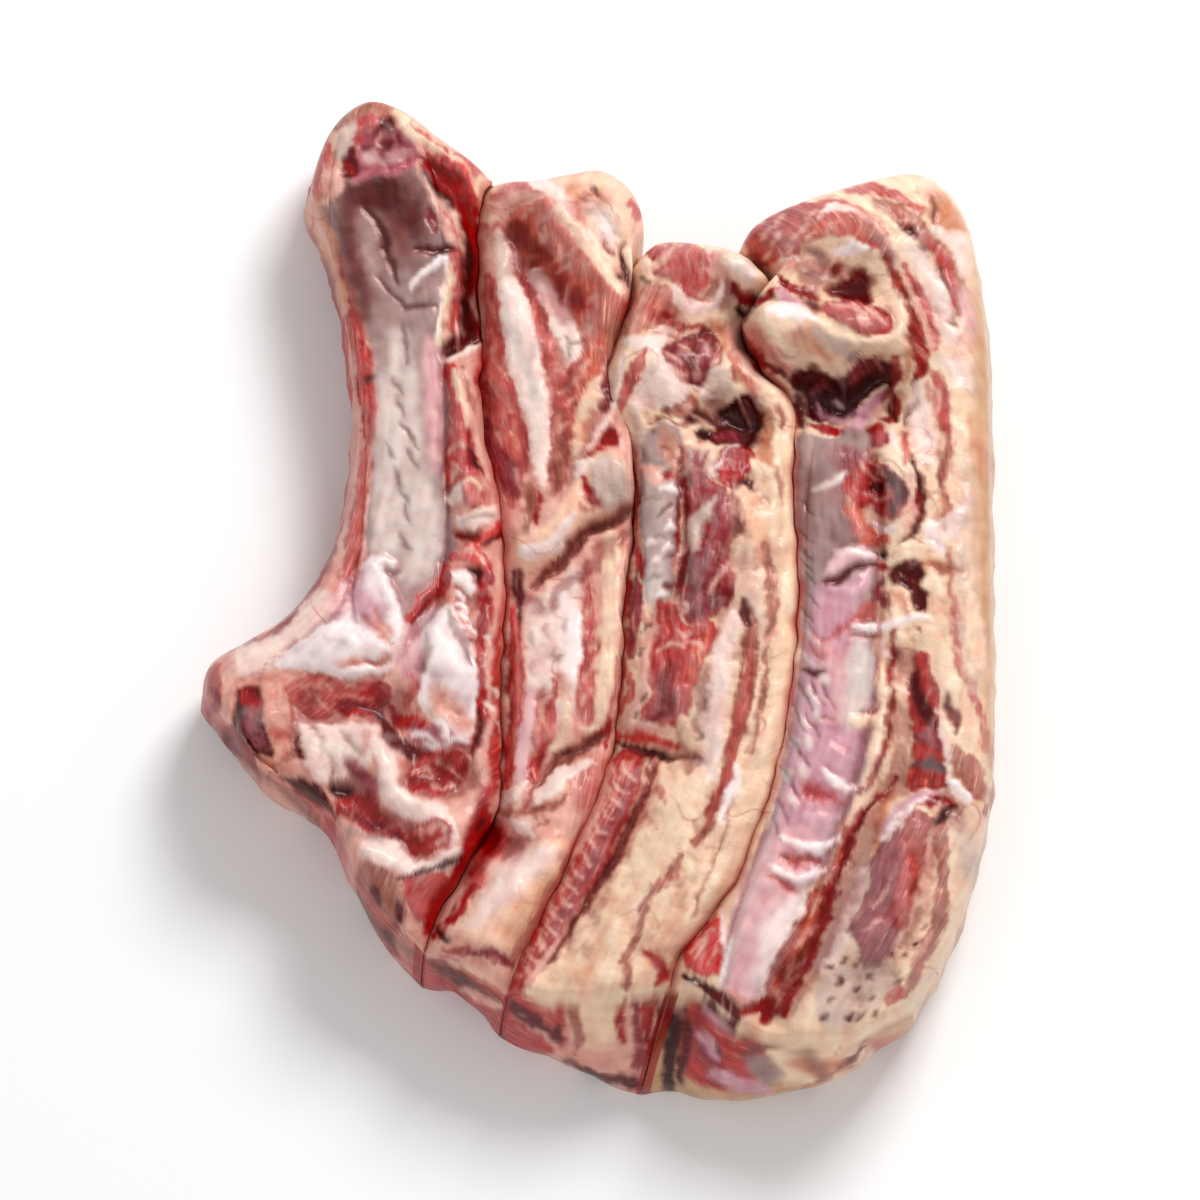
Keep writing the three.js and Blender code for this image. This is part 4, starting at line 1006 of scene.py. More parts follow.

# A thick fold of fat across the slice, over a deep groove coloured brown and dark red as painted shade.
# Broad white fat with pink streaks, and a crease across it, dark with painted shade.
# The tip: a salmon muscle under a cap of fat, with a deep hollow on its left darkened by painted shade, and
# slits on its right dark with painted shade.
second_rib_marks = marks_of("""
# The tip: a salmon muscle under a cap of fat, with a deep hollow on its left.
fat_tan ~1.6: -9,95 -5,96.6 0,97 2,94 0,91 -6,90.4
lean_brown .6 1.1 .8 ~1.2 %60: -6,93.4 -3.6,93.6 -1.6,94
fat_cream 1.2 2.4 2.4 1.6 ~2 %80: -9,94.6 -2,95.6 4.6,93 8,87 8.8,80
lean_pink .7 1.2 .7: 7,90 8.4,88 8.8,86
fat_tan 2.2 ~2 %70: 5.4,84 6,80
fat_cream 1.4 2 1.8 1.2 ^.7: -25,95 -25,91 -26,86.6 -26.6,84.6
lean_pink 1 2.2 2.2 1.2 ^.3 ~1.2: -24,92 -20.6,92.6 -17,93.4 -14,93
fat_pink 2 2.4 1.6 ~1.4: -24,88.6 -20,89.6 -16,90.6
fat_white .9 1.5 1.2 ^.4: -16,94.6 -12,93.4 -9,91
lean_salmon ^.8: -22.6,86 -20,88 -16,89.4 -12.4,91.2 -10.6,89 -9.6,86 -6,81 -3,77 0,73 3,70.6 5.4,67
  6.4,64.4 5.4,61 3,57.4 1,53 -1,51 -2.4,55 -2,60 -5,60.6 -7,63 -9,66.6 -11,71.4 -14,73 -17,75.4 -18.6,77
  -19.6,81 -21,84
lean_salmon 2 3.2 2.6 ~2.4 %50: -18,85 -10,79 -5,70
lean_rust ^-.6 ~1.6: -21.4,85 -18.6,84.6 -16,82 -12,80 -10.4,77.6 -12.6,75 -16.6,74.6 -19,78 -20,82
lean_rust .8 1.8 1.6 .8 ^-.5 ~1.4 %60: -20.4,83 -18,79.6 -16.6,77 -15.6,75
lean_salmon 1 3 3 1.6 ~2 %55: -20,84 -17,79 -14,74
lean_rose 1.6 2.2 2.4 1.4 ~1.6: -9.6,73 -7.4,68.4 -4.4,65 -2,63
lean_brown 1 2 1.8 ^-.4 ~1.4: 5,62 3,59 .8,56
fat_pink .2 .4 .2 ^.2 %85 @-1,-1.2 0,0 1.3,.4: -17,87.3 -13,85.7 -12,81.7 -9.2,76.9 -8.6,73.9 -1.6,66.7
  -15.4,76.9 -6.4,78.3 -3.4,74.3 -10.6,88.3
fat_pink .2 .5 .2 ^.3: -6.8,70 -7.4,67 -7.4,64.4 -6,62.4
fat_cream .8 1.6 1.4 .8 ^.7: -9.4,89 -6,84 -3,79 0,74.6 2.6,70.8 4.6,68
fat_cream ^.3 %75: -4,90 2,90 7,86 7.6,79 5,76 2,73.6 -1,79 -3,84
membrane_pale 1 2 1.4 ~2: -2,88 1,85 2,81
lean_dark .4 .8 .4 ^-.5 %80: -1,93.4 -.8,92.4 -.2,91.2
lean_brown .4 .7 .4 ^-.6: 1.4,80.4 1.8,79.2 2.2,78
lean_dark .4 .7 .9 .6 ^-.9: 4.6,79.6 5,76.4 6.4,73.6 6.6,70
pit .8 ^-.6: 4.6,72.2 4.8,71.4
fat_cream 1 1.6 1.4 ^.8: 6,78 8,76 9,72
# Bands of white fat and dusky lean down to the middle.
lean_pink .8 1.5 1 ~1.2: -26.4,84 -23.6,83.6 -21.4,83
fat_grey 1.6 2.5 2.2 ^.3: -23.6,81.6 -22.8,77.6 -22,73 -21,69.6
lean_mauve .4 .8 .9 .5 ~.9 %70: -20.4,80 -19,75.6 -17.2,71 -15.4,66
lean_pink 1.3 3.3 5 1 ^-.5: -25.2,72 -24.6,65 -24.4,57 -23.8,49 -23,43 -21.8,36.6 -21,30.6 -20.2,25.4
  -20,20.4 -20,17.6
lean_rose 1 1.8 2.4 2 1 ~1.8 %50: -24,64 -23.4,54 -22,46 -20.6,38 -19.4,31
lean_mauve 1 2.2 2.8 1.6 ~1.6: -25.4,38 -23.6,31 -21,26 -20,21
lean_dark .4 .9 1 .7 ^-.6 %60: -26.6,56 -26.2,44 -25.6,34 -24,26
fat_pink .18 ^.1 %80 @-.8,1.6 0,0 .6,-1.8: -24,53 -21.6,49 -20.8,42 -19.4,33.4 -22.6,34 -24.6,46 -18.4,24
  -23,61
fat_white 2.6 4 3.7 2.5 .8 ^.7: -20.6,69.6 -19.9,66 -18.8,60.6 -18,56 -17,50.6 -15.8,45.6 -14.6,40.6
  -13.9,35 -13.6,30 -13.4,25.6 -13.2,22.4
membrane_pale .5 1.1 1.1 .6 ~1 %90: -22,66 -20.6,60 -18,53 -15.6,44 -14.6,35
lean_pink 1 1.8 1.8 1.6: -18,72.6 -15.4,68 -13.4,63 -12.4,58 -12.2,52
fat_white 1.4 2 2.4 3 2 ^.6: -15,72.6 -12.6,68.6 -10.4,64.6 -8.8,60.6 -6.8,56.6 -6.6,52.4
wrinkle .4 ^-.5 %50: -8,57.4 -6.6,55.6 -4.6,56.2 -3.4,57
wrinkle .5 ^-.4 %50: -7.2,55 -7.4,52
lean_pink ^.2: -13,51 -9,50 -5,53 -1.6,58 .6,54 0,49 -2.6,48 -4,44 -5.4,38 -6.6,31 -8,24 -10,19.6 -11.2,24
  -11,32 -10.6,39 -10.8,45
lean_salmon 1.4 2 1.8 1 ~1.4: 0,58 -.8,53 -2.6,48.6 -5,44
lean_brown .8 1.7 1.5 .6 ^-.2 ~1: -9,39 -8.8,33 -9.2,28 -10,24 -10.6,21
fat_pink .15 .4 .15 ^.2 %90 @-1.2,-1.2 0,0 1.4,1: -5,48 -6.4,42.6 -8.2,45 -9,50 -8.6,36 -3.4,50.6
fat_cream 1.3 2 2.2 1.7 1.2 ^.5: -.6,47 -1.8,42.6 -3.2,38 -4.4,33 -5.6,28
fat_tan .8 1.6 .9 ^-.3 ~1.4 %70: -1.4,39 -3,36.4 -3.6,33.6
lean_mauve .8 1.6 1.6 .9 ^-.6: 4,56 3,50 2,45 .8,40
fat_white .3 .6 .5 ^.6: 3,42 .4,36 -2.4,30.6 -4.6,27
blood ^-.2: .4,34.6 2.4,35.6 4,33.4 3.8,31.4 1.4,31.2 0,32.4
lean_bright .6 1.2 .8 ~.9: -2.4,29.4 0,31 1.4,30.4
# A thick fold of fat across the slice, over a deep groove.
fat_peach ^.9: -2,29 3,30 6.6,26 7,20 4.6,16 0,14.6 -5,10.6 -10,6 -14,3 -18.6,3 -20,8 -18,10 -14,11.6
  -10,16 -7,21 -5,26
fat_grey ^1.2: -2.6,26 -.6,28.4 2,29.2 5,27.2 6.6,23 6,18.4 3,16.4 .2,17 -1,20 -2.6,23
fat_white 1.2 1.9 1.7 1.2 ^.8: -17.4,6 -13,7 -9,10.6 -6,15
fat_white .9 1.5 1 ^.8: -5.6,24.6 -4.2,27 -2.6,27.6
lean_red .5 1 .9 .5 ^-.7: -4,24 -2.8,21.6 -1.6,19.4 0,17.6
lean_pink .4 .8 .4 ^-.2 %80: -3.6,18.6 -2.4,16.6 -.8,17
lean_brown .8 1.6 1.5 .8 ^-.3: -16.4,22.6 -15.6,18.6 -15.4,14.6 -16.6,11.4
lean_red .3 .7 .5 ^-.4: -14.2,21 -13.8,17 -14.6,13.4
lean_brown .7 1.7 1.5 .6 ^-1.8 ~1.2: 6.8,16.4 3,14.4 -1,12 -5,8.4 -9,4.4 -12.4,1 -15,-2
lean_dark .4 .7 .7 .3 ^-.6 %30: 3,14.6 -1.6,11.6 -6,7.4 -10,3.4
crease 1.4 ^.9: 6,13 0,9.6 -4,5 -9,.4 -13,-4
# Broad white fat with pink streaks, and a crease across it.
fat_white ^.4 ~1.4: -16,-7 -11,-2 -5,3 -4,-6 -4.4,-18 -5,-29 -8,-34 -12,-26 -16.6,-26 -17,-16
white 1.4 2.2 2.4 1.6 ^.3 ~1.6: -8,-4 -6.6,-10 -6.4,-16 -6,-22
membrane .4 .8 .4 ^-.3 %50 @.3,1.6 0,0 .5,-1.6: -15.7,-20.6 -12.3,-12 -8.3,-11 -15.9,-14 -10.9,-17.6
fat_tan .8 1.8 1.6 ^-.2 ~1.6 %60: -9,-23 -8.6,-26 -7,-28
fat_cream 1.8 2.2 1.6 ^.4: 3,10 2.6,-2 2.4,-14 1.2,-24 0,-33
lean_pink .7 1.3 1.4 1.7 1.9 1.2: -2.4,4 -2.4,-4 -2.2,-12 -2.2,-17 -3,-22 -3,-28 -2.6,-33
fat_pink .15 .3 .15 ^.1 @-.8,-1.4 0,0 .9,1.2: -2.2,-7 -1.4,-15 -2.6,-22 -3,-27 -2.4,0
lean_rose .6 ~.9 %70: 3.6,-18 3.2,-26 2,-33
membrane_pink 1 1.7 1.7 1.4 ^.3: -15.8,-26 -16.2,-33 -17,-40 -18.2,-46
lean_pink .5 1.4 1.5 1.4: -10.6,-24 -10.8,-31 -12.6,-37 -14.6,-43
lean_rose .5 1.3 1.3: -13,-38 -14,-42 -15.4,-46.4
lean_pink .3 .6 .3 %80: -14,-29 -13.8,-34 -14.6,-38
lean_dark .9 1.3 .9 .4 ^-.5: -19,2 -18.4,-3 -17.8,-8 -18.4,-14
lean_rose .9 1.9 1.7 1.2: -19.4,-7 -19.2,-13 -19,-21 -19,-29 -19.4,-36 -20.4,-42 -21.4,-48
lean_pink .2 .5 .4 .2 ^.2: -19,-9 -18.8,-18 -18.4,-27 -19.6,-38
lean_dark .4 ^-.3 %60: -20.6,-16 -20.6,-26 -20.6,-36
fat_cream .9 1.6 1.6 ^.5: -7.4,-30 -7.6,-35 -10,-39.4
fat_cream .6 1 ^.4: -4,-35 -1.6,-34.4
lean_red ^-.4: 2.6,-31.6 3.4,-35 2,-39 0,-37.4 -1,-35.4 1,-34
lean_brown .9 1.5 1.1 .4 ^-1.6 ~1: 1,-36.6 -2.6,-37.8 -6,-39.8 -9,-42.4 -11.6,-45 -14,-48
lean_dark .4 .7 .4 ^-.5 %35: 0,-37 -3.4,-38.2 -7,-40.4
lean_pink ~1.8 %80: 0,-41 1.4,-44 -.6,-50 -4,-54 -6,-50 -4.6,-46 -3,-42
fat_white 1 1.8 1.8 1.3 ^.8: -3,-42.6 -7,-45 -11,-48.6 -14.6,-51.6
fat_white .8 1.5 1.3 .7 ^.9: -16.6,-47.6 -19,-49.6 -21.4,-51.8 -23.4,-52.4
lean_brown .6 1.1 .9 1 1 .5 ^-.4 %90: -22.6,-54 -19,-54.6 -15.6,-54 -12,-53.2 -9.4,-52 -7.6,-50
lean_pink .4 .7 .5 ^-.2: -15,-49 -15.8,-52 -17,-54
lean_brown .5 ^-.3 %90: -14.2,-55.6 -13,-55 -12.2,-56.2 -13.2,-57
fat_white .8 1.6 .8 ^.4: -19.6,-57 -17.4,-58 -15.4,-59
lean_bright ~1.6 %90: -24.6,-55 -22,-57 -20.6,-61 -21.6,-64 -25.6,-67 -25,-71 -29,-74 -29.6,-68 -27,-62
blood 1.2 2.2 1.6 1 ^-.3 ~1.4: -25,-56 -24.4,-60 -26.4,-64 -29,-69
# The plain of cream fat at the chine end, in a border of lean.
fat_peach ^.6: -23,-68 -19,-63 -12,-60 -6.6,-62 -8.6,-68 -11.6,-74 -15,-80 -18.6,-87 -23,-85.6 -28,-84
  -32.6,-82 -31,-78 -27,-74
fat_white ~2.6: -22,-67 -18,-63.4 -12,-61.6 -9,-64 -13,-68 -18,-73 -25,-79 -31,-81 -28,-76
fat_tan ~3 %45: -17,-72 -12,-72 -14.6,-79 -18,-85 -23,-83 -20,-78
lean_red 1.1 ^-.2: -28,-72 -31,-76.4 -34,-80 -37,-83
blood_dark .8 1.2 .6 ^-.4: -36.4,-81.6 -35.4,-83 -34,-84
blood .5 1 .9 .5 %80: -35.6,-85.8 -33,-86.4 -30.4,-86 -28.6,-85.2
lean_mauve .7 1.4 1 ^-.4: -30,-86.6 -26,-86.4 -23,-87.4 -20,-89.4
lean_brown .5 1 .9 ~1.4 %70: -6.6,-63 -10,-70 -14,-77.6 -19,-87.6
""")
second_rib_wall_marks = marks_of("""
fat_cream 1.2 2 1.2 ~1.2: -34,-88 -28,-90 -22,-93.4
lean_dark 1.2 2.4 1.6 ~1.4: -38,-89 -31,-94 -22,-100
fat_pink .6 1.2 .8: -31,-96 -26,-98.4 -21,-101
lean_red .8 1.4 .8: -36,-94 -31,-99 -24,-104
""")
second_rib_cut = {
    "left": KNIFE_1, "right": KNIFE_2, "left_free": False, "right_free": False, "slump": (3, 5),
    "left_drop": KNIFE_1_DROPS, "right_drop": KNIFE_2_DROPS,
    "tip_end": [[-25, 100], [-15, 98.6], [-7, 99.8], [0, 100.6], [5.5, 97.5], [9, 92], [10, 86], [9, 80.5]],
    "chine_end": [[-39.5, -84], [-30, -87.5], [-21, -94]],
    "crown": [[28, 33, 32], [28, 32, 33], [30, 33, 34], [31, 34, 34], [32, 35, 34], [30, 34, 32]],
    "folds": [
        [-5, 6, [[-20, 84], [-16, 76], [-8, 68]]],
        [4, 6, [[-12, 91], [-4, 80], [3, 66]]],
        [4, 7, [[3, 27], [-4, 20], [-12, 13], [-17, 10]]],
        [-4, 6, [[6, 14], [-2, 8], [-9, 1], [-14, -3]]],
        [-3, 5, [[2, -36], [-6, -40], [-12, -42]]],
        [-4, 5, [[-26, -58], [-20, -61]]],
        [3, 8, [[-12, -66], [-24, -81]]],
    ],
    "bones": [], "base": "fat_pink", "marks": second_rib_marks,
    "side_cover": 0, "end_cover": 0.9, "wall_base": "lean_rose",
    "wall_marks": second_rib_wall_marks,
}
make_cut("second_slice", "second_rib_cut", second_rib_cut, raw_meat)


# ======== Third slice ========
# Muscles and fat close round a narrow rib end. Below it one strip of lean and a broad cream fat
# with pink streaks run down to the chine end. It lies between the second and third knife line.

THIRD_RIB_BONE = {
    "dish": 0, "thick": 4,
    "line": [[14, 37, 36, 3, 1], [14, 26, 37, 4.6, 2], [14, 8, 37.4, 4.8, 2], [13.5, -9, 36.4, 3, 1]],
}
KNIFE_3 = [[31, 80.4], [37, 75.5], [39.5, 71], [34.5, 66], [32.5, 60.5], [37, 51.5], [44, 42], [44, 22],
           [45, -4], [42, -33], [36, -56], [30, -70], [18, -86], [15.5, -93]]
KNIFE_3_DROPS = [8, 6, 3, 2, 2, 2.5, 4, 6]

# Flecks of fat in the strip of marbled lean beside the second knife cut: pairs at even steps.
STRIP_TOP, STRIP_FOOT, FLECK_PAIRS, FLECK_PITCH = (3, -44.6), (-19.6, -91), 15, 3
strip = np.linspace(STRIP_TOP, STRIP_FOOT, FLECK_PAIRS)
strip_flecks = " ".join(f"{x:.1f},{y:.1f} {x + FLECK_PITCH:.1f},{y:.1f}" for x, y in strip)
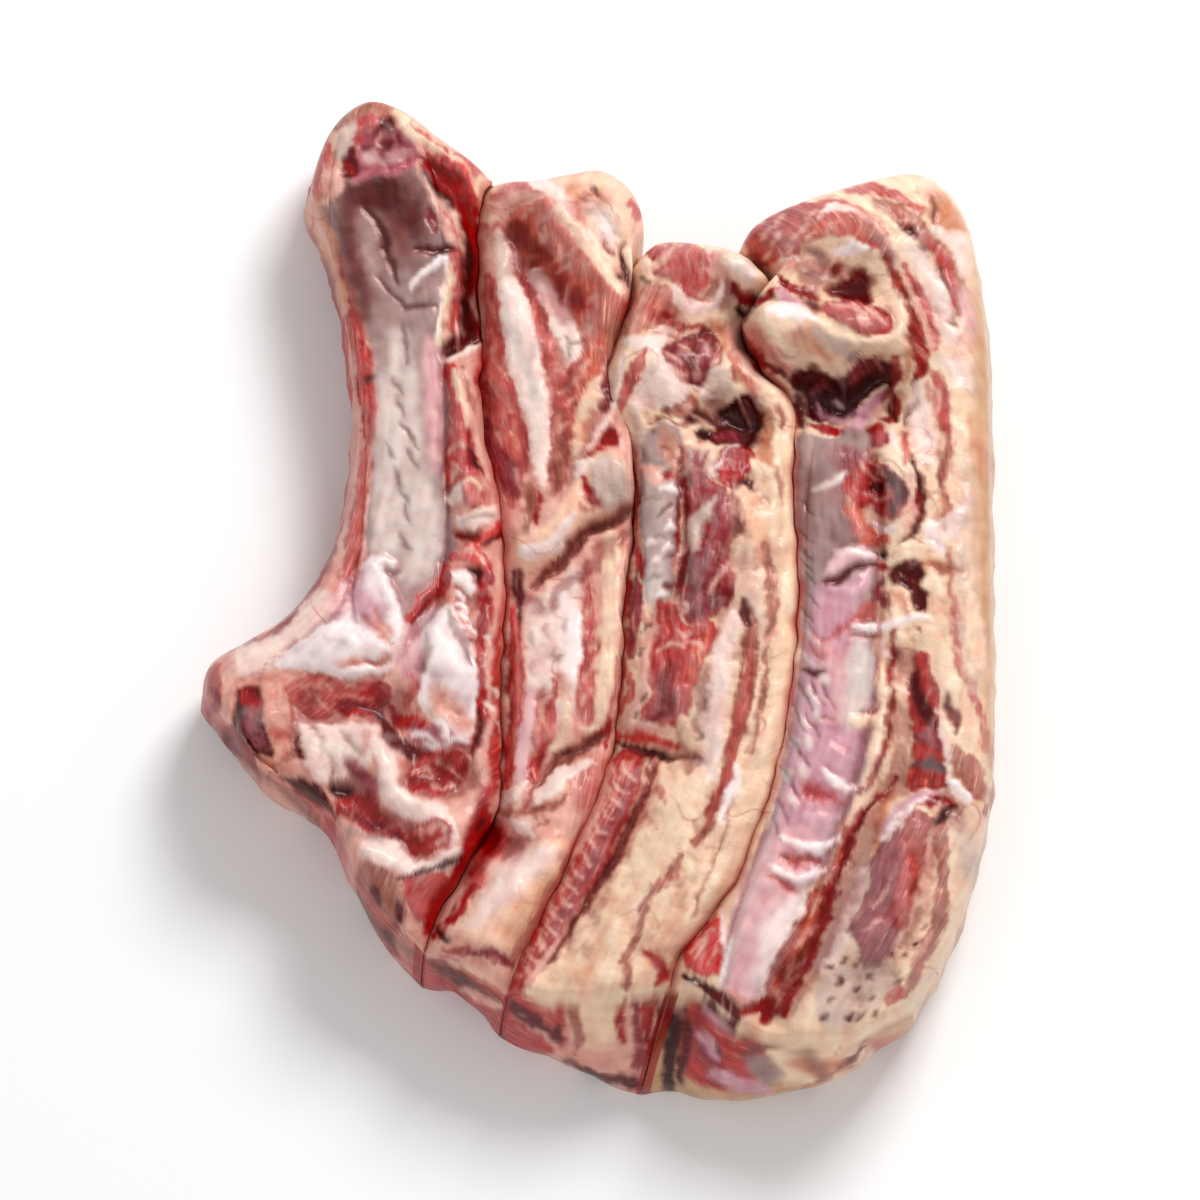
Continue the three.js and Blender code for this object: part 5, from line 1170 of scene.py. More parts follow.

# A crease across the slice, dark with painted shade, and the red lip above it.
# A pit between the ridges, dark with painted shade, and the lean and fat on its floor.
# Ridges of fat and wedges of dark lean in the hollow under the tip, with grey painted shade on the fat.
# Streaks of lean in the cream fat on the right, with grey painted shade in a fold of the fat.
# The narrow rib end: tan, then grey under its membrane, with painted shade in its wrinkles and in a gutter on
# its left.
# The strip of marbled lean beside the knife cut, a gutter along it dark with painted shade, and cream fat.
# The tip: a muscle, a knob of fat on its right, a pocket dark with painted shade and a stain of blood below.
third_rib_marks = marks_of(f"""
# The tip: a muscle, a knob of fat on its right, a dark pocket and a stain of blood below.
lean_pink ^.6: 9.6,77.6 16,80.4 21,80.2 27,77 25.6,73.6 23.8,67 20.6,66.6 17,70 12,73 13.6,75.4
lean_rose 1 2.4 2 ~2 %60: 19,78 20.6,73 22,69
lean_red .5 .9 .5: 10,76.4 12,76.8 14,77.6
lean_brown .3 .5 .3 ^-.5: 12.4,72.6 14,74.4 16,76
fat_pink .3 .7 .6 .3 ^.4: 12,74 14.6,76 16,78.4 18,79.6
fat_pink .5 .8 .5 ^.3: 25,73 24.4,70 23.4,67.4
fat_pink ^.3: 26,77.4 30,76.6 31,72 28,66 26,70
fat_cream ^1.4: 28,76.6 34,75.8 37.4,73 40,70 39,67.4 36,66.2 33,67.4 30,72
fat_white 1 1.7 1.2 ^.5: 30,74.6 33.4,73.4 35.6,71
fat_cream 1.6 2.2 1.4 ^.8: 6.4,78 8.6,75.4 9.4,71.6
lean_dark .5 ^-.6 %80: 10,70.6 11.2,70
lean_pink ^.5 %75: 8.6,68.8 15.6,70 18,66 17,60.4 12,60 5.4,58 7,64
fat_pink 1 1.6 1 ^.3: 9,67 7.6,63 7.6,59.6
lean_rose .8 1.4 .8 ~1.2 %70: 11.4,66 12,63 14,60.6
blood 2 ~2.2 %60: 14.6,63.4 15.8,62.2
blood 1.1 %90: 15,62.8 15.8,62.2
fat_cream ^.5: 18.4,69 20.4,65.8 24,65 27.4,69 29,66 28.6,61.6 23,60.4 19,61
fat_white .8 1.5 1.3 1.4 .8 ^.5: 17.6,69.4 19.6,65.4 23.6,64.2 27,66 28,70
lean_pink .5 .9 .6 ^-.2: 16.6,61 20,59.8 23.6,60
lean_dark .4 .8 .9 .5 ^-.8: 20.4,57.6 22.6,57.8 24.4,58.8 25.4,58
fat_tan 1.4 2 1.2 ~1.4: 25.6,60.6 27.8,58.6 28.6,55
lean_red .9 1.7 1.3 ^-.8: 31,69.4 32.6,67 34.6,66
pit .6 1.3 .8 ^-1: 31.8,64.4 33.4,62.6 33.4,60.4
lean_dark .7 ^-.6: 35.6,66 38.6,66
# Ridges of fat and wedges of dark lean in the hollow under the tip.
fat_white ^.6: 5,56.4 11,58.8 16.6,59.4 14.4,54 17,48.6 19.8,45 18,41.6 12.4,41 7,39.6 7.6,44 10,49
  12.4,53.4 7,54.6
fat_grey 1 1.8 1 ~1.6 %70: 12,50 13,45.6 16,43
lean_pink .8 1.7 1.5 .7 ^-.3: 10,54 8,50 6,45 4.2,39.6
fat_white .4 .8 .4 ^.5: 5.4,53 4.4,48 2.8,43
lean_mauve ^-.5: 14.2,54.2 20.4,58 25,58.6 27.8,55 27.6,51.6 24.6,47 22.8,44.6 18,47.6 15,51
lean_dark .8 1.9 1.5 .8 ^-.4 ~1.5 %80: 22,56 20.4,52 21,48 22.4,45.6
fat_pink .2 .4 .2 ^.3 %85: 14.6,53.6 16.2,52 17.8,50.8 / 18.2,55.8 19,55 20,54.6 / 19,53.4 21.4,53 22.2,50
  22.8,47.6 / 22.6,57 24,56 24.4,53 / 26.6,55.4 27,53 25.4,50.6 / 16,49.4 18,48.4 19.4,47
fat_grey ^.7: 24.4,47 26.4,50.6 29.4,50 30,46 27.6,42.4 22.6,42.4
fat_white .3 .7 .4 ^.4: 21.4,45.6 23.6,44.6 26,43.2
lean_salmon .6 1.2 1.4 .8 %90: 30.4,57 30.8,52 32.6,48 35,43.6
lean_brown .5 ^-.5: 30.2,50 30.6,47
fat_pink .8 1.2 .6 ^.5 %80: 29,61 30.4,57 32.8,52 36,46
fat_grey .5 1 .5 ^-.4: 32,59.6 33.6,55.6 36.4,51.4
lean_bright .4 1 .7 ~.9: 35,51 37.4,49 39.6,47.4
fat_cream 1 1.7 1.5 ^.6: 37.4,47.6 40,44.6 42.6,41.6
lean_brown ^-.3: 13.8,40.4 17,42.2 20.4,43.8 22.8,41 21.4,37 18.8,36.4 19.4,38.6
fat_pink .3 .7 .3 ^.4: 18.6,42 20.4,41 21,39.6
blood_dark .8: 20.4,38.2 21.4,37.4
lean_brown .2 .5 .3 ^-.6 %90: 11.4,37.2 13.4,38.6 16,38.4 18,37
# A dark pit between the ridges, and the lean and fat on its floor.
lean_dark ^-1: 26.4,39.4 29,41.6 32.4,44 36,42.4 37.2,38.6 36,33.6 33.6,31 28,31.6 22.4,33.4 22,35 25.6,36
pit ^-.8 ~1.4 %90: 27,39 30,41.6 33.6,41 34.4,37 33,34.6 29,36.4
blood_dark .6 1.3 1 ^-.2: 33.6,42.6 35.6,39.4 35.6,35.6
pit .4 .8 .5 ^-.6: 22,34.6 24,34.8 25.6,33.6
lean_mauve 1 1.7 1 ^.3 ~1.2: 26.4,34.4 29.4,34 32,32.6
membrane_brown .6 1.3 .7 ^-.4: 21.6,39.6 24,39 26,37
lean_red ^.5: 26.6,29 29,30.8 33.4,31.4 35.6,28.6 34,24.6 31,21.4 27,23
lean_dark .5 1.2 .8 ^-.4: 31,21.4 33,23.4 34.4,22
fat_grey ^.2: 19.4,31 23,31 26,28 25,22 21,19.6 19,22
lean_mauve .5 1 .5 ^-.2 %80: 21.6,30 22.6,27 24.4,30
gristle .22 ^.3: 21,19 25,24.6 29,29.8 31.8,31.8 / 19,19.6 22.6,22 26,25 / 23,12 26,16 29.4,19.6 /
  24.6,12.4 27,15 29,16.6 / 20.8,17 23.6,20.6 25.6,22 / 20,30.6 20.6,26 20.2,22
fat_tan 1.2 2.1 1.8 ^.5: 38.4,40 38.4,35 37.6,30 38.6,25
fat_cream .6 1.2 .9 ^.5: 39.4,43 40.4,37 40.2,31 41.4,25
lean_brown .6 1.2 .7 ^-.3: 40.6,41 41.2,39 41.4,37
fat_cream 1.4 2.2 1.4 ^.4: 35.4,27 37.6,24.4 40,20.6
lean_brown .3 .6 .4 ^-.4 %80: 40.4,26 40.8,21 41,17
# The narrow rib end: tan, then grey under its membrane, with a dark gutter on its left.
fat_grey 1 1.8 1.4 ^.3: 8.4,38.4 9.6,35 9.4,31
membrane ^.2: 9,28 13,37.6 18,36.4 19.4,32 18,24 18,14 18,6 17,-3 13,-6 10,-4 9,4 9,14
fat_tan 1 1.9 2 1.2 ~1.6 %70: 14.6,36 16.2,32 16.6,28 17,25
membrane_pale 1.4 2.5 2.6 1.8 ~1.8: 13,27 13,18 13,8 12.6,0 12,-4
membrane_brown 1.2 2.4 1.2 ~2 %50: 13,24 12.6,14 12.4,4
wrinkle .5 1.3 .6 ^-.3 ~1 %45: 9.6,31 11.8,28 14,27
lean_brown .2 .5 .2 ^-.4: 18.6,32 18.5,27 18.2,22
membrane_brown .4 ^-.4 @-.9,.5 0,0: 15.7,30.5 12.3,34.5 17.7,27.5
lean_red .3 .9 .4 ^-.4: 13.4,23.4 15.4,24.2 17.6,24
white .5 1 .7 ^.5: 14,21.6 16,21.2 18,20
fat_pink .8 1.4 .8 ^.4: 10,26.6 12.4,25.2 13.6,23
wrinkle .2 .5 .3 ^-.5 %70: 12.6,14.6 14,16 15.8,17.4
white .3 .8 .3 ^.5 %80 @-1.2,-.5 0,0 1.2,-.4: 15.4,7.4 12.4,4.4 14,-3.2 16.2,12.4 11,9.4
wrinkle .2 .5 .2 ^-.4 %40 @-1.6,-.8 0,0 1.8,-.6: 13.4,10.6 15.8,5 12,1 11.4,19.6 15.6,25.8
membrane_brown .5 .8 .5 ^-.5: 14.6,-1.2 15.6,-1.8 16.4,-1.4
lean_red .4 ^-.5: 17.8,23 17.8,14 18.2,8 17.2,1
lean_dark .5 1 1 .7 ^-.9: 5,32 7,27 8.2,21 7.6,12
lean_red .5 1 .5 ^-.4: 7.4,10 8.4,6 9.2,1.6
pit .4 1 .9 .4 ^-1: 6.6,4 6.2,0 6.2,-4 6,-8
lean_mauve .6 1.5 1.5 1 ^-.4: 8.2,2 8,-5 7.4,-12 7,-18
lean_dark .3 ^-.6 %80: 6,-8 5.6,-16 5,-24 4.2,-32
fat_pink .3 .8 .3 ^.3 @-.8,.6 0,0 1,-.4: 9.4,-14.4 8,-19.8 10.4,-9.6 6.6,-24
# Muscle round the right of the rib, crossed by pale sinew, and a second muscle below.
lean_red ^.7: 18.6,24 23,25 27,22 31,19 33,14 31,10 29,6 30.6,0 29.6,-4 26,-9 21,-10.4 18,-8 17.4,-1
  18.4,4 20,8 19,14
lean_dark ^-.4 ~1.6 %80: 20,6 24,9 28,11.4 29,8 27,2 29.4,-3 26,-8 20,-9 18,-3
lean_brown 1 2.2 1.8 ~1: 30,20 31.6,16 31.4,12
lean_mauve 1.4 4 4 1.4 ~2.8 %75: 20,30 22.6,22 25,14 25,4 22,-6
blood_dark .4 1 .5 %70: 30.4,14 31.4,12.4 30,11
fat_grey ^.4: 20,14 24.4,17.2 27,18.6 25,14.6 22.6,11 21.6,7.4 20,8
pit .4 ^-.3 %70: 22.6,10.8 23.4,10.4
fat_pink .2 .4 .2 ^.4: 30.2,5.6 28.6,3 26.4,.4 24.4,-2.6
fat_pink .25 ^.4: 19.4,9 18.4,5 17.2,1
lean_rose ^.5: 13,-5 17,-6 19,-10 26,-10 26,-15 23,-22 20.4,-29 18,-34 9,-34 11.6,-26 10.6,-20 12,-12
lean_dark .8 1.8 1.8 1 ^-.3 ~1.4 %75: 15.4,-20 14.6,-25 15.4,-30 11.4,-33
lean_salmon .8 1.5 1 ~1: 23.6,-12 22.8,-17 20.8,-22
fat_pink .2 .5 .2 ^.3 %90: 13.6,-16.6 16,-15.2 19,-16 / 20.2,-14.8 22.4,-15.6 22.8,-18.4 / 17,-12 19,-13
  20.6,-12 / 18.4,-5.6 19.4,-7 18.6,-8
fat_pink .8 1.3 .9 ^.5: 12.6,-11 10.6,-18 9.4,-26 6.6,-33
lean_pink .6 1.2 .8 ^-.2: 7,-22 6.4,-27 5,-31
lean_dark .3 ^-.3 %80 @.6,1.6 0,0: 10.2,-12 9.6,-17.6 9.6,-28 8,-32.6
# Streaks of lean in the cream fat on the right.
fat_grey ^.2 ~1.6 %70: 31,9 35,8 36.6,0 37.4,-12 35.4,-14 33,-6 30.6,0
fat_peach 1.6 2.4 2 1.4 ^.5: 32.6,21 35,15 36.6,9 37,4
fat_white 1.6 2.4 2.7 2.8 2 ^.4 ~1.4: 30.4,-8 28,-17 26.4,-27 24.6,-38 21.4,-50 16.6,-60
fat_grey .8 1.6 1 ^-.3 ~1.4 %70: 24,-21 23.4,-27 21.6,-34
membrane_brown .2 .4 .2 ^-.3 @-.3,.8 0,0 -.3,-.8: 23.7,-29.4 22.7,-36.2 20.1,-44
lean_brown 1 1.9 2.4 2.2 1.7 1.5 1.7 1.4 .9 ^-.2: 32.8,-8 33.8,-13 34,-19 32.8,-26 31.4,-33 29.6,-40
  28.4,-45 27,-50 24.4,-56 21,-61.4
lean_rose .4 1.1 1 1.2 .5 ~1 %70: 34.4,-16 32.6,-28 30.6,-36 27.6,-48 24,-56
membrane_brown .8 1.4 .9 ^-.6: 32.6,-5.4 32.8,-7.4 33.4,-9.6
lean_brown 1 1.6 1.5 .8 .9 .6 ^-.2 %85: 37.6,8 38.2,2 38.8,-4 38.8,-10 38,-16 37.4,-24 36,-31 34,-40
fat_pink .2 .6 .4 ^.3: 35.6,-17.4 38,-15 40,-12
fat_cream 1.2 1.9 1.8 1.4 ^.4: 38,15 42,4 42.4,-12 40.4,-28 37,-42
white .6 1.2 .7 ^.4 ~1: 31.4,-43 30,-48 27.4,-56
lean_brown .2 .5 .3 ^-.3 %70: 30.8,-50 27.6,-59 24.6,-68 20.4,-79
# A crease across the slice, and the red lip above it.
fat_pink .8 1.3 .9 ^.6: 6,-34.6 10,-34.6 15,-35.4
lean_bright .8 1.4 1.2 .7 ~1: 4,-36.6 9,-36.8 14,-38 17,-39.4
fat_cream 1 2 1.6 ^.9: 18,-33 20.2,-37 22.4,-40
lean_dark .4 .9 1 .7 ^-1.6: 3.4,-38 8,-39.2 12,-40.8 16,-41.6
lean_brown .6 .6 .3 ^-.9 %80: 16,-41.6 19.4,-41.8 22.4,-41.6
# The strip of marbled lean beside the knife cut, a dark gutter along it, and cream fat.
fat_cream ^.4: 14,-44 22,-43 24,-50 20,-60 17,-70 11,-80 5,-90 3,-94 -9,-93 -12,-91 -5,-84 0,-76 5,-66
  9,-55
lean_pink .5 %70: 13,-48.6 15.4,-52
lean_rose 3.4 4.2 3 ^.2: 7,-42 2.6,-54 -4.4,-68 -12,-82 -19,-94
lean_mauve .9 1.9 1.9 1 ~1.4 %70: 9,-44 3.4,-57 -4,-70.6 -12.6,-86
fat_pink .2 .5 .2 ^.1 @-.8,1.6 0,0 1.8,-1.6: {strip_flecks}
fat_pink .4 .9 .9 .5 ^.2: 3,-44 -1.4,-55 -9.4,-70 -20,-90
fat_pink .3 .8 .9 .5 ^.5: -3.4,-76 -9,-84 -14,-90.6 -17,-95
lean_red 1.2 2.2 2.2 1.6 .8 ~1.6 %80: 12.4,-43 9.4,-52 4.6,-62 -1.4,-73 -8,-84
lean_dark .4 .9 .5 ^-1.2 %60: 11.8,-44 7.4,-56 1.8,-67 -4.6,-78 -11,-88
lean_brown .6 1.2 1 1 .9: 18,-64.6 15.6,-69 11.6,-73 9,-79 6.6,-87 6,-95
fat_tan 1 2.4 2 1.2 ~2.2 %60: 17,-74 16,-81 13,-87 10,-93
blood .6 1.4 1.3 .8 ~1: 10,-86.6 12.4,-88 14.4,-91 13,-94
fat_tan 1.4 ~2 %60: 1,-82 -2,-89 -5,-93
""")
# On the chine end's wall: painted shade along the knife cuts and along the foot.
third_rib_wall_marks = marks_of("""
fat_cream ~1.5: -8,-93 4,-93 4,-103 3,-109 -4,-110 -7,-102
lean_rose ~1: -24,-93 -9,-93 -7.6,-101 -8,-108 -14,-112 -24,-108
lean_dark 1.2 2.2 2: -21,-98 -15,-103 -10,-106
lean_pink .5 1.2 .6: -18,-96 -14,-99 -11,-104
fat_pink .3 .6 .3: -16,-105 -12,-107 -9.6,-109 / -12,-96 -10.6,-98 -10,-101
lean_brown .6 1.1 1 .6: -7.4,-95 -6,-100 -5,-106 -6,-111
lean_red 1.3: 4.6,-94 4.8,-102 5,-108
lean_mauve 1.4: 7.6,-95 8,-103 8.6,-113
fat_pink .6 1 .5: 6.2,-97 6.4,-103 6.8,-110
lean_red .8 1.4 .9: 10.6,-94 10.8,-102 11,-112
pit 1.6 2 1.4: 14.8,-93 15,-101 14.4,-109 13,-118
blood .8 1.2 .6: 12.6,-93 12.6,-96 12.8,-99
lean_dark .8 1.4 1.2: -8,-113 2,-117 12,-119
""")
third_rib_cut = {
    "left": KNIFE_2, "right": KNIFE_3, "left_free": False, "right_free": False, "slump": (5, 20),
    "left_drop": KNIFE_2_DROPS, "right_drop": KNIFE_3_DROPS,
    "tip_end": [[9, 80.5], [14, 82.6], [22, 81.8], [31, 80.4]],
    "chine_end": [[-21, -94], [-10, -95.5], [4, -95.5], [15.5, -93]],
    "crown": [[32, 36, 34], [34, 37, 35], [35, 37, 36], [35, 37, 37], [34, 37, 37], [33, 36, 34]],
    "folds": [
        [4, 6, [[30, 74], [36, 71]]],
        [-5, 5, [[30, 66], [33, 59]]],
        [-3, 5, [[18, 60], [26, 60]]],
        [3, 6, [[9, 50], [17, 44]]],
        [-8, 7, [[27, 40], [34, 37]]],
        [3, 7, [[27, 16], [23, -5], [15, -25]]],
        [-5, 5, [[3, -38], [10, -39.5], [20, -41]]],
        [1.2, 6, [[4, -46], [-4, -62], [-11, -79], [-18, -92]]],
        [-2.2, 5, [[13, -46], [6, -62], [-3, -79], [-11, -91]]],
    ],
    "bones": [THIRD_RIB_BONE], "base": "fat_cream", "marks": third_rib_marks,
    "side_cover": 0, "end_cover": 1, "wall_base": "fat_pink",
    "wall_marks": third_rib_wall_marks,
}
third_surface = make_cut("third_slice", "third_rib_cut", third_rib_cut, raw_meat)


# ======== Fourth slice: the rind rib cut ========
# The outermost slice, with the fat and pale rind of the belly along its free right side. Flaps of
# lean and fat fold over a deep pit at the tip end, and a long bare rib starts below it.

RIND_RIB_BONE = {
    "dish": 0.6, "thick": 5,
    "line": [[55, 33, 36, 6, 2], [55, 18, 38.5, 8, 3], [54.5, -8, 39.5, 8.2, 3],
             [52.5, -30, 40, 8.5, 3], [47, -52, 40, 8.2, 3], [40.5, -72, 40, 7.5, 3],
             [34.5, -88, 39.5, 6.5, 3], [32, -98, 37, 4.5, 2]],
}
RIND_SIDE = [[80, 95], [84.5, 85], [87.8, 64], [88.6, 40], [88.4, -32], [87, -52], [83.4, -67], [77.4, -85],
             [69.5, -98]]
